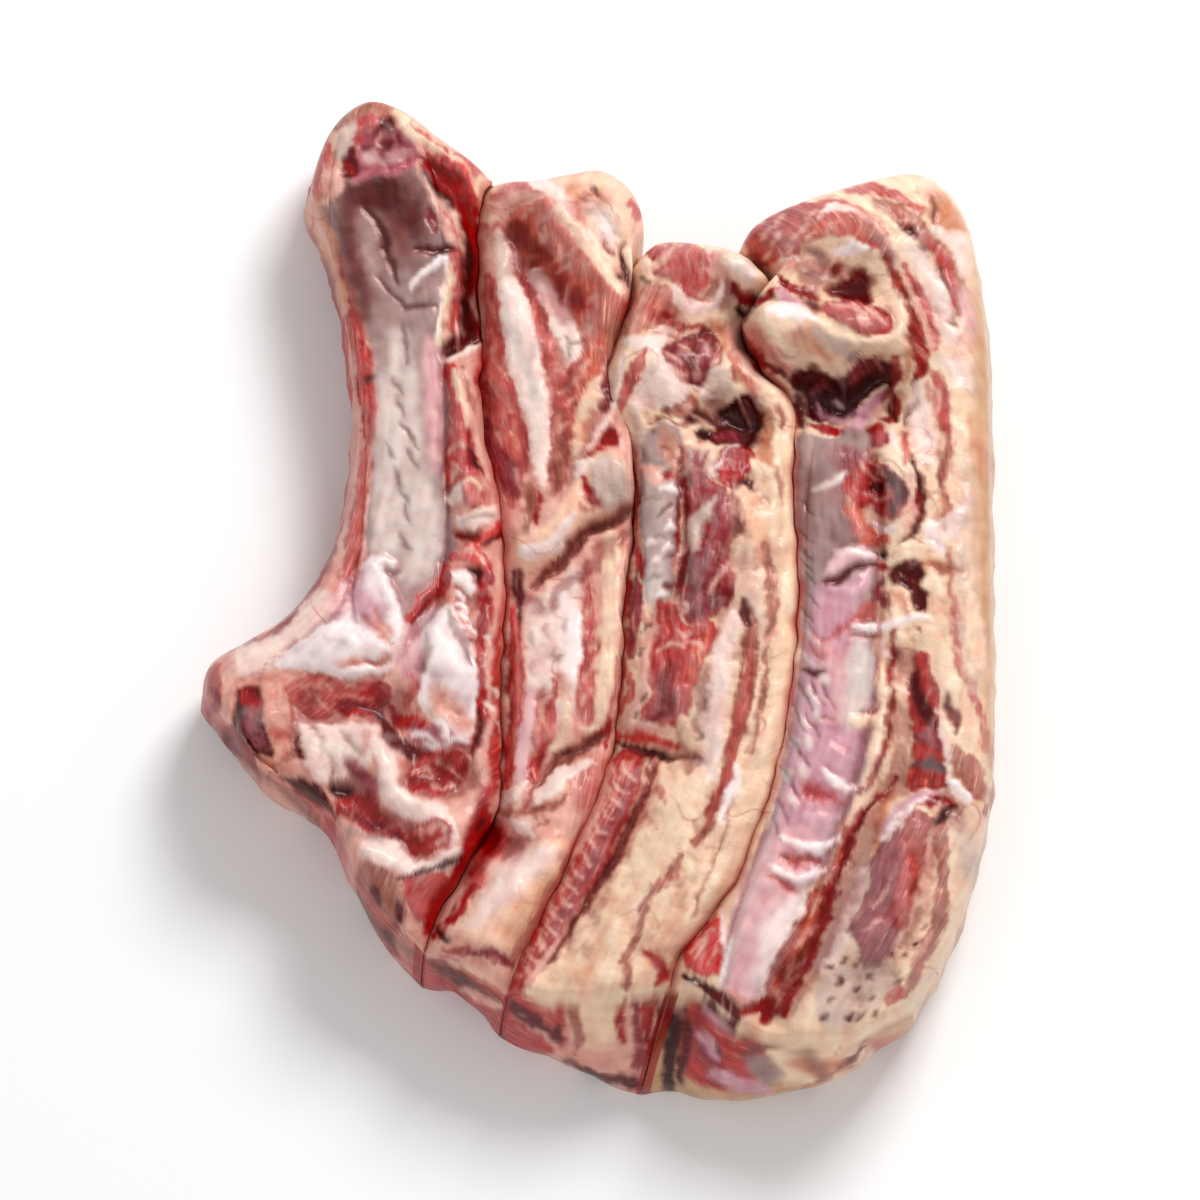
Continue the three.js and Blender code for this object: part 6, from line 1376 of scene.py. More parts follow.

# Muscle and creases along the right of the rib, the creases dark with painted shade.
# The bare rib: grey-lilac at its upper end and pink below, wrinkled across, with painted shade in its
# wrinkles and under a fold.
# The lobe of fat that hangs over the pit: a painted highlight on its top, tan and grey painted shade on its
# lower side, and painted shade in the pocket at its left.
# The pit, dark with painted shade and with a small painted glint, and the dusky lean and pale skin on its
# floor.
rind_rib_marks = marks_of("""
# The tip: a lobe of lean on the left with pale flecks, and bands of fat and lean round it.
lean_rose ^.7: 33,79 35,84 41,87.6 48,90 55,90 61,87 66,81 66,76 61,77 54,80.4 49,79.6 44,76.6 38,73.4
lean_mauve ~1.6 %60: 36,82 41,86.4 48,88.4 49,84 46,78.6 40,77
lean_red .6 1.2 .6: 34.6,83 36.4,80 35.4,77
lean_salmon 1 2.2 1.8: 50,83 55,83.6 60,82.4
lean_brown .8 1.7 1.6 1: 57,86.4 61.6,83 65,79.4 66.6,76
lean_salmon 2 4 4.4 2 ~3 %40: 38,76 46,81 54,84 62,83
fat_pink .2 .5 .2 ^.2 @-.9,-1.3 0,0 1.1,1.4: 37.4,82 38.4,77 43,80 46.4,83 45,81.6 48,80.4 52,81.6 41,85
  50,85.6 39.6,80.6 47.6,86.4 42.6,77.4
fat_white .3 .9 .4 ^.3: 50,87 53,88 57,87.8
fat_pink .3 .4 .4 .2 ^.4: 56,88.6 60.4,86.2 64,82.4 67.6,77 69,74
fat_cream ^.5: 47,76.4 50,79.6 55,80.6 60.4,79.4 61,76.6 58,74.6 53,75 49,73.8
white .5 1.3 .7 ^.4: 53,76.8 57,78 60,78.4
fat_grey .7 1.2 .7 ^-.3: 46.6,78.4 49.6,76.6 51,74.6
fat_cream .8 2 2 1 ^.6: 57.4,90.4 61,89.6 64.4,86.4 67.6,83
lean_pink .6 1.3 1.3 .8 ^.3: 56.6,92.2 62,92.6 67,91.6 73,87
lean_brown .8 1.8 2.2 2.1 2 2.4 2.5 1.2 ^.4: 62.6,90 67,87.4 71,84.6 75,80.4 78.4,76.4 80.4,72 81.4,67
  80.4,62.6
lean_rose .5 1.3 1.2 1 ~1: 75,80 78.6,75 80.6,70 81,65
lean_dark .6 1.3 .7 ^-.5: 69,84 70,82.6 71.6,81.4
lean_dark .3 .6 .3 ^-.3 %80: 72.6,79 74,77.8 / 77.4,74 78,71.6 79.6,69
fat_cream 1.8 2.6 2.6 2.4 1.8 ^.6: 66,94.4 72,95.8 77,94.4 80.6,90.4 83,85
fat_tan ~1.2: 74.4,92 78,92.6 81.4,88 83.4,83.4 80,82.6 76.6,83.8 74.4,87
membrane_brown .3 .8 .5 ^-.4 %70: 75.8,90.4 75.8,87.6 76.6,84.4
fat_white 1 2.2 1.8 ^.3 ~1.2: 77,82.4 81.6,80 83.6,74
# Folds of fat and lean over a red pocket.
fat_pink .8 1.5 1.5 .8 ^.4: 39,73 45,74.6 51,73.2 56,71.8
fat_white .2 .5 .2 ^.3: 41,75 44,76.4 46,75.4 / 47,73.6 50,72 54,71.4
lean_red .5 1 .5: 54.6,74.8 53.8,73.8 53.4,72.4
lean_red .6 1.5 1.3 .7 ^-.6: 41,71.6 42.6,69.6 46,68 49.6,66.4
lean_red ^-1.2 ~1.2: 51,69 56,71 57.4,73.6 60.4,73.2 62.4,69 61.4,65.6 56.6,66 53,67.6
blood_dark .8 2 2 1 ^-.3 ~1.6 %80: 54,68.6 56.6,68.8 59.6,68.4 60,70.6
membrane_lilac .8 1.5 1 ^.3: 40.6,68 42.6,65.6 46,65
membrane_brown .6 1.2 .7: 46.6,66 48.6,65 50,63.6
lean_rose ^.7: 50,64.4 53,66.2 58,66.2 63,64 66,60.4 64.6,58 61,57 57,58.4 52.4,62
lean_red .4 1 .5: 51.6,64.2 54,62.8 56.4,61
fat_pink .3 .7 .3 ^.2: 54,65.2 57,64 60,62 / 57.6,62.6 59.4,60.8 61.4,60 / 60.6,64 62.6,62 64,60.6
lean_red .3 .7 .3: 62,65 64.4,63 65.8,61
# The lobe of fat that hangs over the pit.
fat_cream ^1.2: 33,60 36,63 40,64.8 47,63.4 51,60.6 55,58 59,56.4 64,57.4 68.4,60 69,55 65,53.4 60,53.2
  57,50.6 52,49.2 48,50.4 43.6,48 38,51.2 34.6,56
white .8 1.7 1.6 .8 ^.5: 38.6,62.6 42,63.4 45.4,62.8 49,61.2
fat_tan 1 2.4 2.6 1.4 ~2: 42,57 46,57.6 49.6,55.4 52,52.6
fat_grey 1 2 1 ~1.6: 49,58 53.6,55.4 57,52.6
lean_pink 1 2.4 2.2 1 ~1.6 %85: 35,59 37,55 40,52 44,49.4
membrane_brown .3 .7 .3 %50: 44.6,59.6 45,57.8 46.6,57 / 41,53.4 43,52.6 45,53.2
lean_bright .4 .9 .4: 34.8,53 37.4,50.6 40,48.8
fat_cream .6 1.3 1.2 .7 ^.6: 57.4,55.4 62,54.8 66,56.8 69.4,59.6
membrane_brown .12 .25 .12 ^-.3 @1,1.3 0,0 -.9,-1.2: 57,52 58.2,52.2 59.4,51.8
pit .5 1.3 1.1 .6 ^-1: 32.6,61.4 34,64.6 36.6,66.2 39,66.6
lean_red .4 1 .4: 35.4,65 38,66.6 40.4,68.4
lean_dark .5 .9 .6 ^-.8: 33,57 37.4,51.2 43,47.6
# Strips of lean down the right of the tip, with fat between.
fat_cream 1 2.2 2.4 1.6 1 ^.5: 62.4,77 63.6,72.6 66,67 69,61.4 69.4,55
lean_rust .7 1.3 1.2 .9 ^-.2: 65.4,76 67.4,71 69.6,66.6 70.8,62.6
lean_rust .9 2 2.2 1.6 .6 ^-.4: 71,64 72,59 72.8,54 73.4,50 72,46.6
lean_red .3 1 1.1 .5: 71.4,59.6 72.6,55 73.2,50.4 72.4,48
lean_pink .6 1.3 1.5 1.3 .6: 69,74 71.6,70 73.6,65 75.4,60 76.6,55
fat_pink .3 .5 .5 .3 ^.4: 69,72 71.6,66.6 73.6,61 75.8,55.4
fat_tan .4 1 .5: 69.6,56 70.2,51 70,47
fat_white 1.2 2.2 2.4 2.2 1.4 ~1.4: 70.6,79 74,73.6 76.6,68 78.6,62 79.6,56
membrane_brown .2 .5 .2 ^-.3: 79.6,61 80.4,60.6 81,61.6
membrane_pink 1.4 2.4 1.4 ~1.6: 84,67 85,61 86,54.6
fat_white 1.4 2.8 2.2 ~1.6: 78.4,52 82,49.4 86.4,45
fat_pink .8 1.8 .8 ~1.6 %80: 81.6,57 84,54.8 86.6,54
# The pit, and the dusky lean and pale skin on its floor.
lean_dark ^-1.4: 43,47.4 46.4,50.4 49.6,50 53,48.4 57,49.6 60.4,52 66,51 68,47 64.6,46 61,43 57.6,39 54,37
  50.6,38 47.6,39 46.4,43
pit ^-.6 ~1.2 %90: 47,47 53,47.6 57,46 61,48.8 65,49 61.6,45 58,41.6 54.6,38.4 51.6,40 50,43.6
lean_mauve .6 1.4 .8: 57,47.6 60,50.4 62.4,52.2
lean_mauve .4 1 .4: 48.4,44.6 49.6,46 50.4,47.8
white .6: 54,42.2 54.6,42
membrane_dark .7 1.5 .9: 45,44.6 46,40 46,36
membrane_lilac .3 .8 .9 .5 ^.4: 49.6,41.6 51.6,39.4 55,38 58,40.4
lean_red .8 1.6 1 ^-.3: 48.6,36.8 51.4,36 54,34.6
membrane_lilac .8 1.6 1.7 .9 ^.3: 54.4,31.6 57.4,35.4 60.6,39.6 64,43.8
white .3 .7 .3: 54.4,30.8 56,32.4 57.6,34
lean_rust .7 1.5 1.2 .6: 67,52.6 67.6,49 66.4,45.6 64.6,43
lean_dark .3 .7 .5: 66.6,48 65.6,45.8 65.8,44
lean_rust .7 1.5 1.4 .8 ^-.3: 66.4,44.4 67.6,41.4 66.6,38.4 64.4,37.6
lean_dark .3 .8 .5 ^-.5: 67,43 66,40.4 67,38
lean_dark .3 .7 .7 .3 ^-.7: 72,45.6 72,42.4 70.2,40 69,37
lean_red ^.3: 60.6,33.4 62,36.4 65,36.2 66,33 64.6,31.2 62,31.4
fat_white .3 .9 .4 ^.5: 66.2,35 66.8,33 67.4,30.6
fat_cream .6 1.3 .7 ^.5: 66.6,28.8 68,27 69.6,25.4
lean_pink .5 1.2 .6: 68.6,35 69.6,31.6 69,28
# The bare rib: grey-lilac at its upper end and pink below, wrinkled across.
membrane ^.2: 45,34 52,33 58,36 62,34 60,28 56,24 56,16 59,11 62,7 63,0 62,-8 62,-20 62,-30 60,-40 58,-48
  54,-58 50,-68 45,-74 42,-82 38,-92 33,-99 29,-98 27,-92 29,-84 30,-76 33,-68 37,-58 40,-48 42,-38 43,-28
  45,-18 45,-5 44,10 44.5,22
membrane_lilac 3 6 8 8 7 6 ~3: 54,0 53,-10 53,-26 50,-42 46,-56 42,-66
membrane_pink 3 6 6.4 5 3.6 ~3: 43,-60 39,-70 36,-80 33,-88 31,-95
lean_mauve 1.8 3.4 2 ~2 %80: 53,30 57,27.6 61,28.6
lean_mauve 1 2 1.4 ~2 %60: 58.6,27 56,22 54.6,17.6
membrane 2.4 4.6 5 3.6 ~3 %60: 50,30 50.6,20 50,10 51,2
membrane_pale .5 1 .9 .4 ^.3: 48.6,21 51.4,22.2 54,23.6 56,25
white .5: 55,24.4 55.4,24.6
membrane_dark 1 1.9 1.2 ~1.8 %30: 50.6,12 54.6,9.4 58.6,6.6
membrane_brown 1 2.4 1.6 ~2 %60: 46,28 47,20 46.6,10
membrane_pink .8 1.7 1.5 .8 ^.9: 52,1 54.6,4.6 58,6 62,5.6
white .3 .7 .5 ^.3: 55,6 58,6.4 61,5.8
membrane_dark .5 1.1 .9 .5 ^-.9: 51,-.6 54,.2 57,2.4 61,3.6
wrinkle .1 .35 .1 ^-.3 %70 @-1.4,2 0,0 1.6,-1.8: 46.8,17 46.4,10.6 46.6,6.4 47.4,.6 48,-5 47.6,-11
  48.4,-17 46.6,3.4 46.6,-8
membrane_pale .2 .45 .2 ^.3 %90 @-1.5,1.6 0,0 1.8,-1.4: 47.4,-13.6 49.4,-15.4 47.4,-19 50,-19.4 48.2,-27.4
lean_pink ~1.2: 50,-14.6 54.6,-12.4 58,-10.4 62,-9 62.4,-4 59.6,-5.4 57,-8.4 53,-12
lean_dark .5 1.2 .6 ~1: 62.4,-4.6 63,-2 64.2,0
membrane_lilac .5 1.2 1.6 .8 ^.4: 52,-1.6 56,-3 59,-1.4 60.6,2
white .4 .9 .9 1 .9 .5 ^.8: 57.4,-10.4 61,-11.2 64.6,-11.6 68,-10 71,-8.4 73.4,-8
lean_brown .2 .5 .3 ^-.5 %80: 56.6,-13.2 59.6,-12.8 62.6,-13.2
lean_pink 1 2 1 ~2 %60: 48.6,-14 50,-17 52.6,-19.6
membrane_pink 1.4 2.6 2.2 1.4 ~1.6: 52,-19 54,-21 54.4,-26 54,-32
membrane_pale 1.4 3 3 2 ~1.8: 58.6,-15 58.4,-21 58.6,-26 56.6,-33
membrane_dark .4 1.1 .5 ^-.4: 45.8,-21.4 48,-22 50,-21.6
membrane_pale .3 .8 .3 ^.5 @-.9,1.6 0,0 .9,-1.6: 47.6,-27.6 45.8,-33 50.6,-24 49,-31.4 43.6,-38 46.4,-38
  45,-45 41.6,-45.6 43.2,-52
wrinkle .12 .4 .12 ^-.4 %60 @-1.4,3 0,0 1.6,-3.2: 46,-27 48.6,-26.6 51.4,-27.6 44.4,-32 47.6,-33.6
  43.4,-38 45.4,-41 42,-46 44,-48.6 41,-54 39.6,-58
lean_brown .1 .3 .1 ^-.3 %80: 49.6,-32.6 51,-31.8 52.4,-33
fat_cream .6 1.5 1.4 .7 ^.7: 56.4,-32.4 59,-33 62,-32.4 63,-35
lean_brown .2 .5 .3 ^-.4 %80: 62.4,-27.6 62.6,-30.6 58.6,-30.4
# Joints across its lower part, each a pale ridge over a pink hollow.
membrane_lilac 1.6 3 1.6 ^.5 ~1.4: 51,-40 54,-42.6 55,-45.6
lean_rose .8 1.9 1.2 .5 ^-.3 ~1.2 %85: 46.6,-47.4 47.8,-49.4 50.6,-50.6 54,-51.4
white .4 .9 .8 .4 ^.7: 49.6,-45 52,-47.8 56,-48.8 60,-49
membrane_lilac 1 2.4 1.2 ^.4 ~1.4: 46,-55 49,-56.4 53,-55
white .3 .8 .9 .5 ^.7: 41,-60 44.4,-62 49,-62.6 54,-60
lean_pink .6 1.4 1.2 .5 ^-.4 ~1: 40.6,-64 44,-65.2 49,-65.4
white .4 .9 .9 .5 ^.7: 37.8,-66.6 41.4,-68.6 45.4,-69.6 50.6,-67.6
lean_pink .5 1.1 .5 ^-.4 ~1: 38,-69 41,-70.4 44,-72.6
membrane_lilac .4 1 .4 ~1 %80: 36.4,-74 37.4,-76.4 40,-77.6
white 1 2.2 2.4 1.6 ~2 %80: 44,-74 41,-78.6 38,-84 36,-92
fat_white .6 1.3 1.4 1.3 .8 ^.4: 46.6,-72.4 44.6,-78 41.4,-84 38.4,-90 36.6,-95
fat_pink .8 1.7 .9 ^.5: 29,-95 31,-98.4 34,-97.6
# Muscle and creases along the right of the rib.
lean_red ^.6: 56,18 55.4,21 57,25 60,28.4 64,27 67,24.8 69.8,22 69.4,17.4 66.6,14.4 63,15 61,17 58,16
lean_rose .8 1.7 1: 58.4,26 57,21.6 58,17.6
lean_dark .6 1.6 1.6 .9 ^-.4: 64,25.6 67.4,22.6 68,19 66,16.4
blood_dark .5 1.1 .5: 61,22 63,21.6 65,22.4
fat_pink .2 .5 .5 .2 ^.4: 61,19.6 63,18.2 65.6,20 65,22.6
fat_pink .1 .3 .1 ^.3: 58.6,28 60.4,25.4 63,23.8 / 61,28 63,25.6 65,24.4
lean_salmon 1 1.9 1.9 1.1 ^.8: 56.6,16.4 58.6,12 61.4,9.2 65,9.4
white .4 1 .5 ^.6: 62.4,13 64.6,11.6 66.8,12.8
lean_dark .5 .9 .9 .7 .4 ^-1: 70.6,28.4 72.5,23 72.3,17 70.4,11.6 66,6.4
lean_red .3 .7 .4: 71.8,22 72,18.6 71.6,15
fat_pink .3 .6 .5 .2 ^.5: 70,26 70.6,20 70.4,14 67.6,8.8
fat_cream .5 1.1 1 .6 ^.7: 65.6,6.6 68.6,7.6 72,7.2 74.6,8
pit .3 .7 .4 ^-.6: 62.4,6.2 63.6,5.8 64.6,6.6
lean_red .4 1 .5: 61.8,3.6 63.6,2.8 65.4,2.8
lean_dark ^-.9: 65.4,2.6 69,4.8 73,4.4 73.6,1.6 72.2,-.4 73.8,-2.8 74.6,-5.8 72.6,-7 70.2,-5.4 69.4,-2.4
  66.4,-.8
blood_dark .5 1.2 .6: 68,2.2 70.6,1.4 72.4,3
lean_mauve .4 1 .5: 62.4,-1 63.6,-3.6 64.6,-6
lean_brown .2 .45 .2: 65.2,-3 65.2,-6.6 65,-9.6
fat_tan .6 1.3 .7 ^.4: 66.6,-3 68,-5 69,-8
lean_red .5 1.2 1.2 .6: 66.6,-12.4 66.8,-16 65.8,-19.6 65.4,-23
fat_white .3 .8 .4 ^.3: 64.6,-12.6 63.8,-15.8 65.4,-18.4
lean_rust .5 .9 1 1.2 1.2 .7: 65.2,-23 65.6,-28.6 65,-34 63.4,-40 61.6,-45.4 58.4,-49.6
fat_cream 1 1.8 1.8 1.6 1 ^.6: 68.2,-14 68.4,-23 67.8,-31 66.2,-39 63.6,-46.4
lean_brown .3 .8 .4: 70.8,-11.6 71.8,-11 72.6,-11.6
# Lean in the belly fat on the right.
lean_rose ^-.2: 71,-17 73.4,-17.4 74.4,-21.6 76,-28 76.6,-35 78,-42 78.6,-47.4 74,-48.6 68.4,-48 70,-42
  70.6,-36 69,-29 70.4,-22
lean_dark .7 1.6 1.8 1 ^-.3 ~1: 71,-22 71.6,-27 73.4,-31.4 75,-34.4
lean_rose .5 1.1 .6: 73,-19 74,-24 75,-28
lean_mauve .8 1.7 .8 ^.3: 71,-36.4 74,-36.6 76.4,-39
blood_dark .6 1.4 .7 ~1: 70,-43.4 74,-42.4 77.4,-43.6
lean_pink .4 1 .5 %80: 70,-47.6 73,-46.6 76.6,-46.8
fat_white .2 .6 .6 .4 ^.5: 75.8,-31 77.2,-37 78.6,-43 79,-48.4
lean_brown: 78.6,-38.6 82,-39.4 85.4,-43.6 87.4,-51 84.4,-51 80,-46.4
lean_brown .5 1 1.2 .9: 86,-50 88,-55 88,-61 87,-66
fat_white .2 .45 .2 ^.3: 81.6,-49.6 83.6,-53 85.4,-56.4
membrane_brown .5 1.3 1.3 .6 ^-.2: 77.8,-26.6 78.4,-29.4 79.6,-32.4 80,-35.6
lean_pink .8 .9 .6 1.1 1 1.2 1.2 1.2 1.2 .9 %90: 78.6,8 79.6,3 79.6,-2 80,-8 80.4,-14 81.4,-20 83.6,-25.4
  85.8,-31 87.2,-38 88.4,-46
fat_pink .1 .3 .1 ^.2 @-1,.8 0,0 1,-1: 80,-10 81,-16.6 82.4,-21.6 84.4,-26 86,-33.6
lean_pink 1 2 1.8 1 .7 ~.9: 76,49 77.2,44 78,38.6 79,34 78.6,30
fat_pink .2 .5 .2 ^.2: 75.6,46 77,43 76.6,39
lean_brown .6 1.1 .9 1 .7: 79,33 78,28 77.2,23.6 78.4,19 79.6,14
fat_tan .8 1.7 1: 77.4,18 79,15 80,11.6
fat_white 1.2 2.6 2.6 1.4 ^.3 ~1.2: 72.6,45 72.4,39 73.4,33 74.6,27.6
fat_white 1.4 2.8 2 1.4 ^.4: 73.6,12 77.6,12 81,14.4 84,19
white 1 2 1 ~1.2: 74.6,13 75.4,9.6 77,7.6
fat_tan .7 1.6 .8 ^-.5 ~1.2: 73.6,4 77,3 81,2.4
fat_grey 1.4 3 3 2 ~2 %60: 83.4,30 83.6,10 83,-8 84,-24
rind .6 1.6 2.8 3.2 3 2.6 1.4 .6 ~2.8: 85.4,84 86.6,66 87.6,46 88,28 88,12 87.6,-6 88.4,-28 88,-50
fat_tan 1 2 1.2 ~1.8 %70: 84,37 86,31 87.6,24
fat_cream 1 2 1.2 ^.2: 83.6,-4 84.4,-12 85.6,-20
# The chine end: pink muscle, marbled lean, and a big muscle in fat.
lean_bright ^.4: 18.6,-85.4 22.6,-82 26,-78.6 28.2,-79.4 28.2,-84 27.2,-91 24,-92.4 19.6,-91
white .2 .6 .6 .3 ^.4: 27.6,-77.4 28,-83 27.6,-88 27.4,-93
fat_pink .1 .35 .1 ^.2: 21,-88 23.4,-84 26,-81 / 20,-86.6 22,-84.6 24,-82.6 / 24.4,-90 25.6,-86.6 26.6,-84
lean_rust ^.3: 52.6,-64.4 55.4,-66 53.6,-69 52.2,-74 51.2,-80 49,-86 46,-92 42.6,-98 39,-102 37.2,-97
  37,-93 39.6,-87 42.6,-81 45.4,-77 47,-72.6 50,-71
lean_salmon .5 1.3 1 .5: 48.4,-73.4 48,-78 45.6,-83 42,-88
fat_pink .15 .4 .15 ^.2 @-1.2,-1.6 0,0 .9,1.8: 50.4,-69 48.4,-76 47.6,-81.4 44.6,-85 43,-90 41,-94.6
  40,-98 45.6,-88 43.6,-93.6
lean_rust .6 1.3 1.4 .8: 58.6,-52.6 56.6,-58 54.6,-63 51.4,-67.4
fat_cream 1.4 2.2 2.4 2.4 2 ^.5: 65.6,-51 61,-59.6 58.4,-70 55,-81 50,-91
fat_white 1 2.2 2.4 1.6 ~1.4: 59,-66 56.6,-75 53.4,-83 50,-90
fat_tan .5 1.2 1 .5 ~1: 66,-49 63.6,-54 62.4,-59 61,-64
lean_red .5 .9 1 1 .9 .9 .8 .5 ^-.5: 66.6,-46 64,-49.8 60,-53 56.6,-59 54.8,-65 52.4,-72 50.6,-79 47,-89
lean_dark .2 .5 .5 .2 ^-.2 %70: 60,-53.4 56.4,-59.6 54.4,-66 52.6,-72
lean_red .5 1 .9: 47,-88 43.6,-95.6 40.6,-101
blood .8 1.7 1.8 1.2 ^-.3: 30.6,-101 34,-99.4 37.4,-98.6 37,-102.6
lean_dark .6 1.2 1.5 .9 ^-.5: 18,-92 23,-93.8 27.4,-97 30.4,-102
fat_white .2 .35 .2: 18,-93.2 20,-93.6 22.4,-93.4
lean_mauve ^.9: 60,-66 63,-61 67,-57.4 68.6,-66 68.4,-76 66.4,-84 62,-90 59,-92 57.6,-86 56,-81 58,-76
  59.6,-70
lean_rust ^.8: 66.4,-58 70,-54 74.6,-55 73.6,-62 71.6,-70 70,-77 67,-83 66.6,-74 67.4,-66
lean_rose .8 1.7 1.6 .8 ~1.4: 69,-60 69,-67 68,-74 66.4,-80
lean_brown 1.6 1.4 1.5 1.8 2.2 1.9 1.3 .8 ^.4: 76,-57 76.4,-63 76.4,-70 76.4,-77 74.8,-82 72.4,-87
  70.4,-92 68.6,-96
fat_pink .2 .6 .6 .3 ^.3: 74,-58 73.4,-65 71.8,-72 69,-79.4 / 69.4,-79 67,-83 64.8,-87.4
fat_pink .3 .6 .3 ^.3: 75.6,-72.6 73.6,-75.6 71.8,-79 / 73.6,-82 72,-85.6 70,-88.6
fat_pink .2 .4 .2 %80: 62.6,-78.4 60.4,-80 58.4,-81.4 / 65,-70 63.6,-73.6 61,-76
membrane_lilac .6 1.5 1.6 .8 ^.4: 62.6,-60 66,-55 70.6,-51.4 76,-49.4
white .2 .5 .2 @-.8,-.8 0,0 .9,.8: 65,-57.4 67,-54.6 69.6,-53 72,-51.4 63.6,-60
lean_red .5 1.2 .9: 72,-52.4 76,-51.4 79,-53
blood_dark .5 1.3 .6 ^-.6: 74.8,-56.6 76.8,-55.2 79,-53.4
lean_pink: 63.4,-95.4 66,-93.6 68.2,-93.6 67.4,-96.8 64.4,-98.4
fat_grey ~1.6: 48,-95 54,-89 60,-91 65,-88.6 67,-92 62,-99 56,-103.6 49,-102
# Small dark flecks of lean in the fat.
membrane_brown .2 .6 .2 ^-.2 @-.7,-.5 0,0 .7,.5: 53,-92.6 57,-94.8 60.4,-92.4 51.6,-97 50,-101 55.6,-100.8
  58,-101.2 61.4,-100.8 54.4,-88.8 57.4,-89.4 66.6,-92.8 60,-97 51,-89.8 68.4,-86.8
lean_dark .15 .36 .15 ^-.2 @-.6,-.4 0,0 .5,.5: 72.2,-80.8 70.8,-84.2 53.4,-93 56.2,-101 57.4,-95
  50.4,-100.6 65,-86
white .5 1.4 .8 ^.6: 78.8,-47 80.4,-50 82.6,-51
fat_grey 1.2 2.8 2 ~1.6: 80,-55 81.6,-61 83.4,-68
fat_cream 1.6 2.6 2.6 2.2 ^.4 ~1.4: 80.6,-73 80,-81 77,-89 70,-100
""")
# On the chine end's wall: painted shade along the knife cut and in slits.
rind_rib_wall_marks = marks_of("""
fat_cream ~1.5: 37,-102 50,-105 60,-104 62,-112 54,-118 42,-118 37,-111
fat_tan 1.2 2.4 1.4 ~1.6: 43,-112 50,-114 56,-113
membrane_brown 1 2 1.4 ~1.6 %60: 42,-108 47,-111 50,-116
lean_pink 1.2 2.4 2 ~1.8 %80: 61,-107.6 65,-109 70,-108
lean_brown .5 .9 .9 .6: 60.6,-104.6 58.6,-109.4 54,-114 46,-119.6
lean_dark .2 .45 .2: 60,-106 58,-110 54,-114
lean_rose ~1: 18,-93 26,-96 33,-103 37,-107 34,-118 21,-118 17,-106
lean_mauve 1 2 1.4 ~1.4: 20,-104 24,-110 27,-117
lean_dark 1 1.5 1.4: 20,-96 26,-99.6 31,-105
membrane_lilac .6 1.4 .7: 24,-99.6 27.4,-103.4 30,-106 / 21.6,-105.6 24.4,-108.4 26.6,-111.6
membrane_lilac 1 1.9 1.4: 25.6,-115.4 31,-117.6 37,-119.4
membrane ~1.2: 32,-110 38,-111.6 41.6,-116 36,-117.4
lean_dark .3 .7 .3: 21.4,-102 22.8,-104 / 25.6,-108 27,-110
pit .7 1.3 .8: 32,-106.4 35.6,-104.8 39,-107
membrane_brown .6 1 .6: 32,-109 36,-108.8 41,-108
pit 1.4 1.8 1.6: 16,-93 16.4,-104 15.6,-119
lean_dark .8 1.2 .8: 18.8,-97 19.2,-108 18.6,-118
""")
rind_rib_cut = {
    "left": KNIFE_3, "right": RIND_SIDE, "left_free": False, "right_free": True, "slump": (20, 0),
    "left_drop": KNIFE_3_DROPS, "right_drop": [END_DROP],
    "tip_end": [[31, 80.4], [36, 86], [45, 90], [56, 93.6], [65, 96.4], [73, 97.6], [80, 95]],
    "chine_end": [[15.5, -93], [23, -95], [29, -100.5], [36, -104], [46, -105.5], [57, -105], [69.5, -98]],
    "crown": [[34, 41, 37], [37, 39, 40], [37, 39, 41], [37, 40, 41], [37, 40, 40], [34, 37, 36]],
    "folds": [
        [4, 8, [[42, 80], [55, 83], [66, 78]]],
        [-3, 6, [[50, 70], [61, 69]]],
        [5, 7, [[38, 60], [48, 58], [60, 58]]],
        [-10, 8, [[49, 44], [56, 42], [63, 45]]],
        [4, 6, [[65, 16], [67, 24]]],
        [3, 5, [[64, -28], [62, -44], [57, -55], [52, -68]]],
        [-5, 5, [[68, -20], [66, -44], [60, -56], [54, -70], [48, -86], [39, -101]]],
        [4, 7, [[69, -58], [65, -74], [61, -85]]],
        [-3, 5, [[67, -50], [79, -54]]],
    ],
    "bones": [RIND_RIB_BONE], "base": "fat_cream", "marks": rind_rib_marks,
    "side_cover": 0.85, "end_cover": 1, "wall_base": "rind",
    "wall_marks": rind_rib_wall_marks,
}
rind_surface = make_cut("rind_slice", "rind_rib_cut", rind_rib_cut, raw_meat)


# ======== Rib of the first slice ========
# A flat curved rib of young bone, bare on its upper face under the thin grey skin that lined the
# chest. It has grown into the slice round it and lies in a bed of its own shape.

FACE_LIFT, EDGE_LIFT = 0.16, 0.04  # how far a bone's face, and its thin edge, stand above the flesh
CAP_ROWS, BONE_COLUMNS = 18, 41    # rows of faces round each end, and places across the bone
EDGE_CROWDING = 1.3                # how much these places crowd towards its edges


def look_at(surface, points, found):
    """The flesh's own look at places on it, shared between the corners of the face found at each."""
    corners = surface["corners"][found]
    steps = surface["places"][corners] - np.array(points)[:, None, :2]
    weights = 1 / (np.hypot(steps[..., 0], steps[..., 1]) + 0.02) ** 2
    weights /= weights.sum(axis=1, keepdims=True)
    look = {key: surface["look"][key][corners] for key in ("tone", "lean", "skin")}
    return {key: np.einsum("pc,pc...->p...", weights, values) for key, values in look.items()}


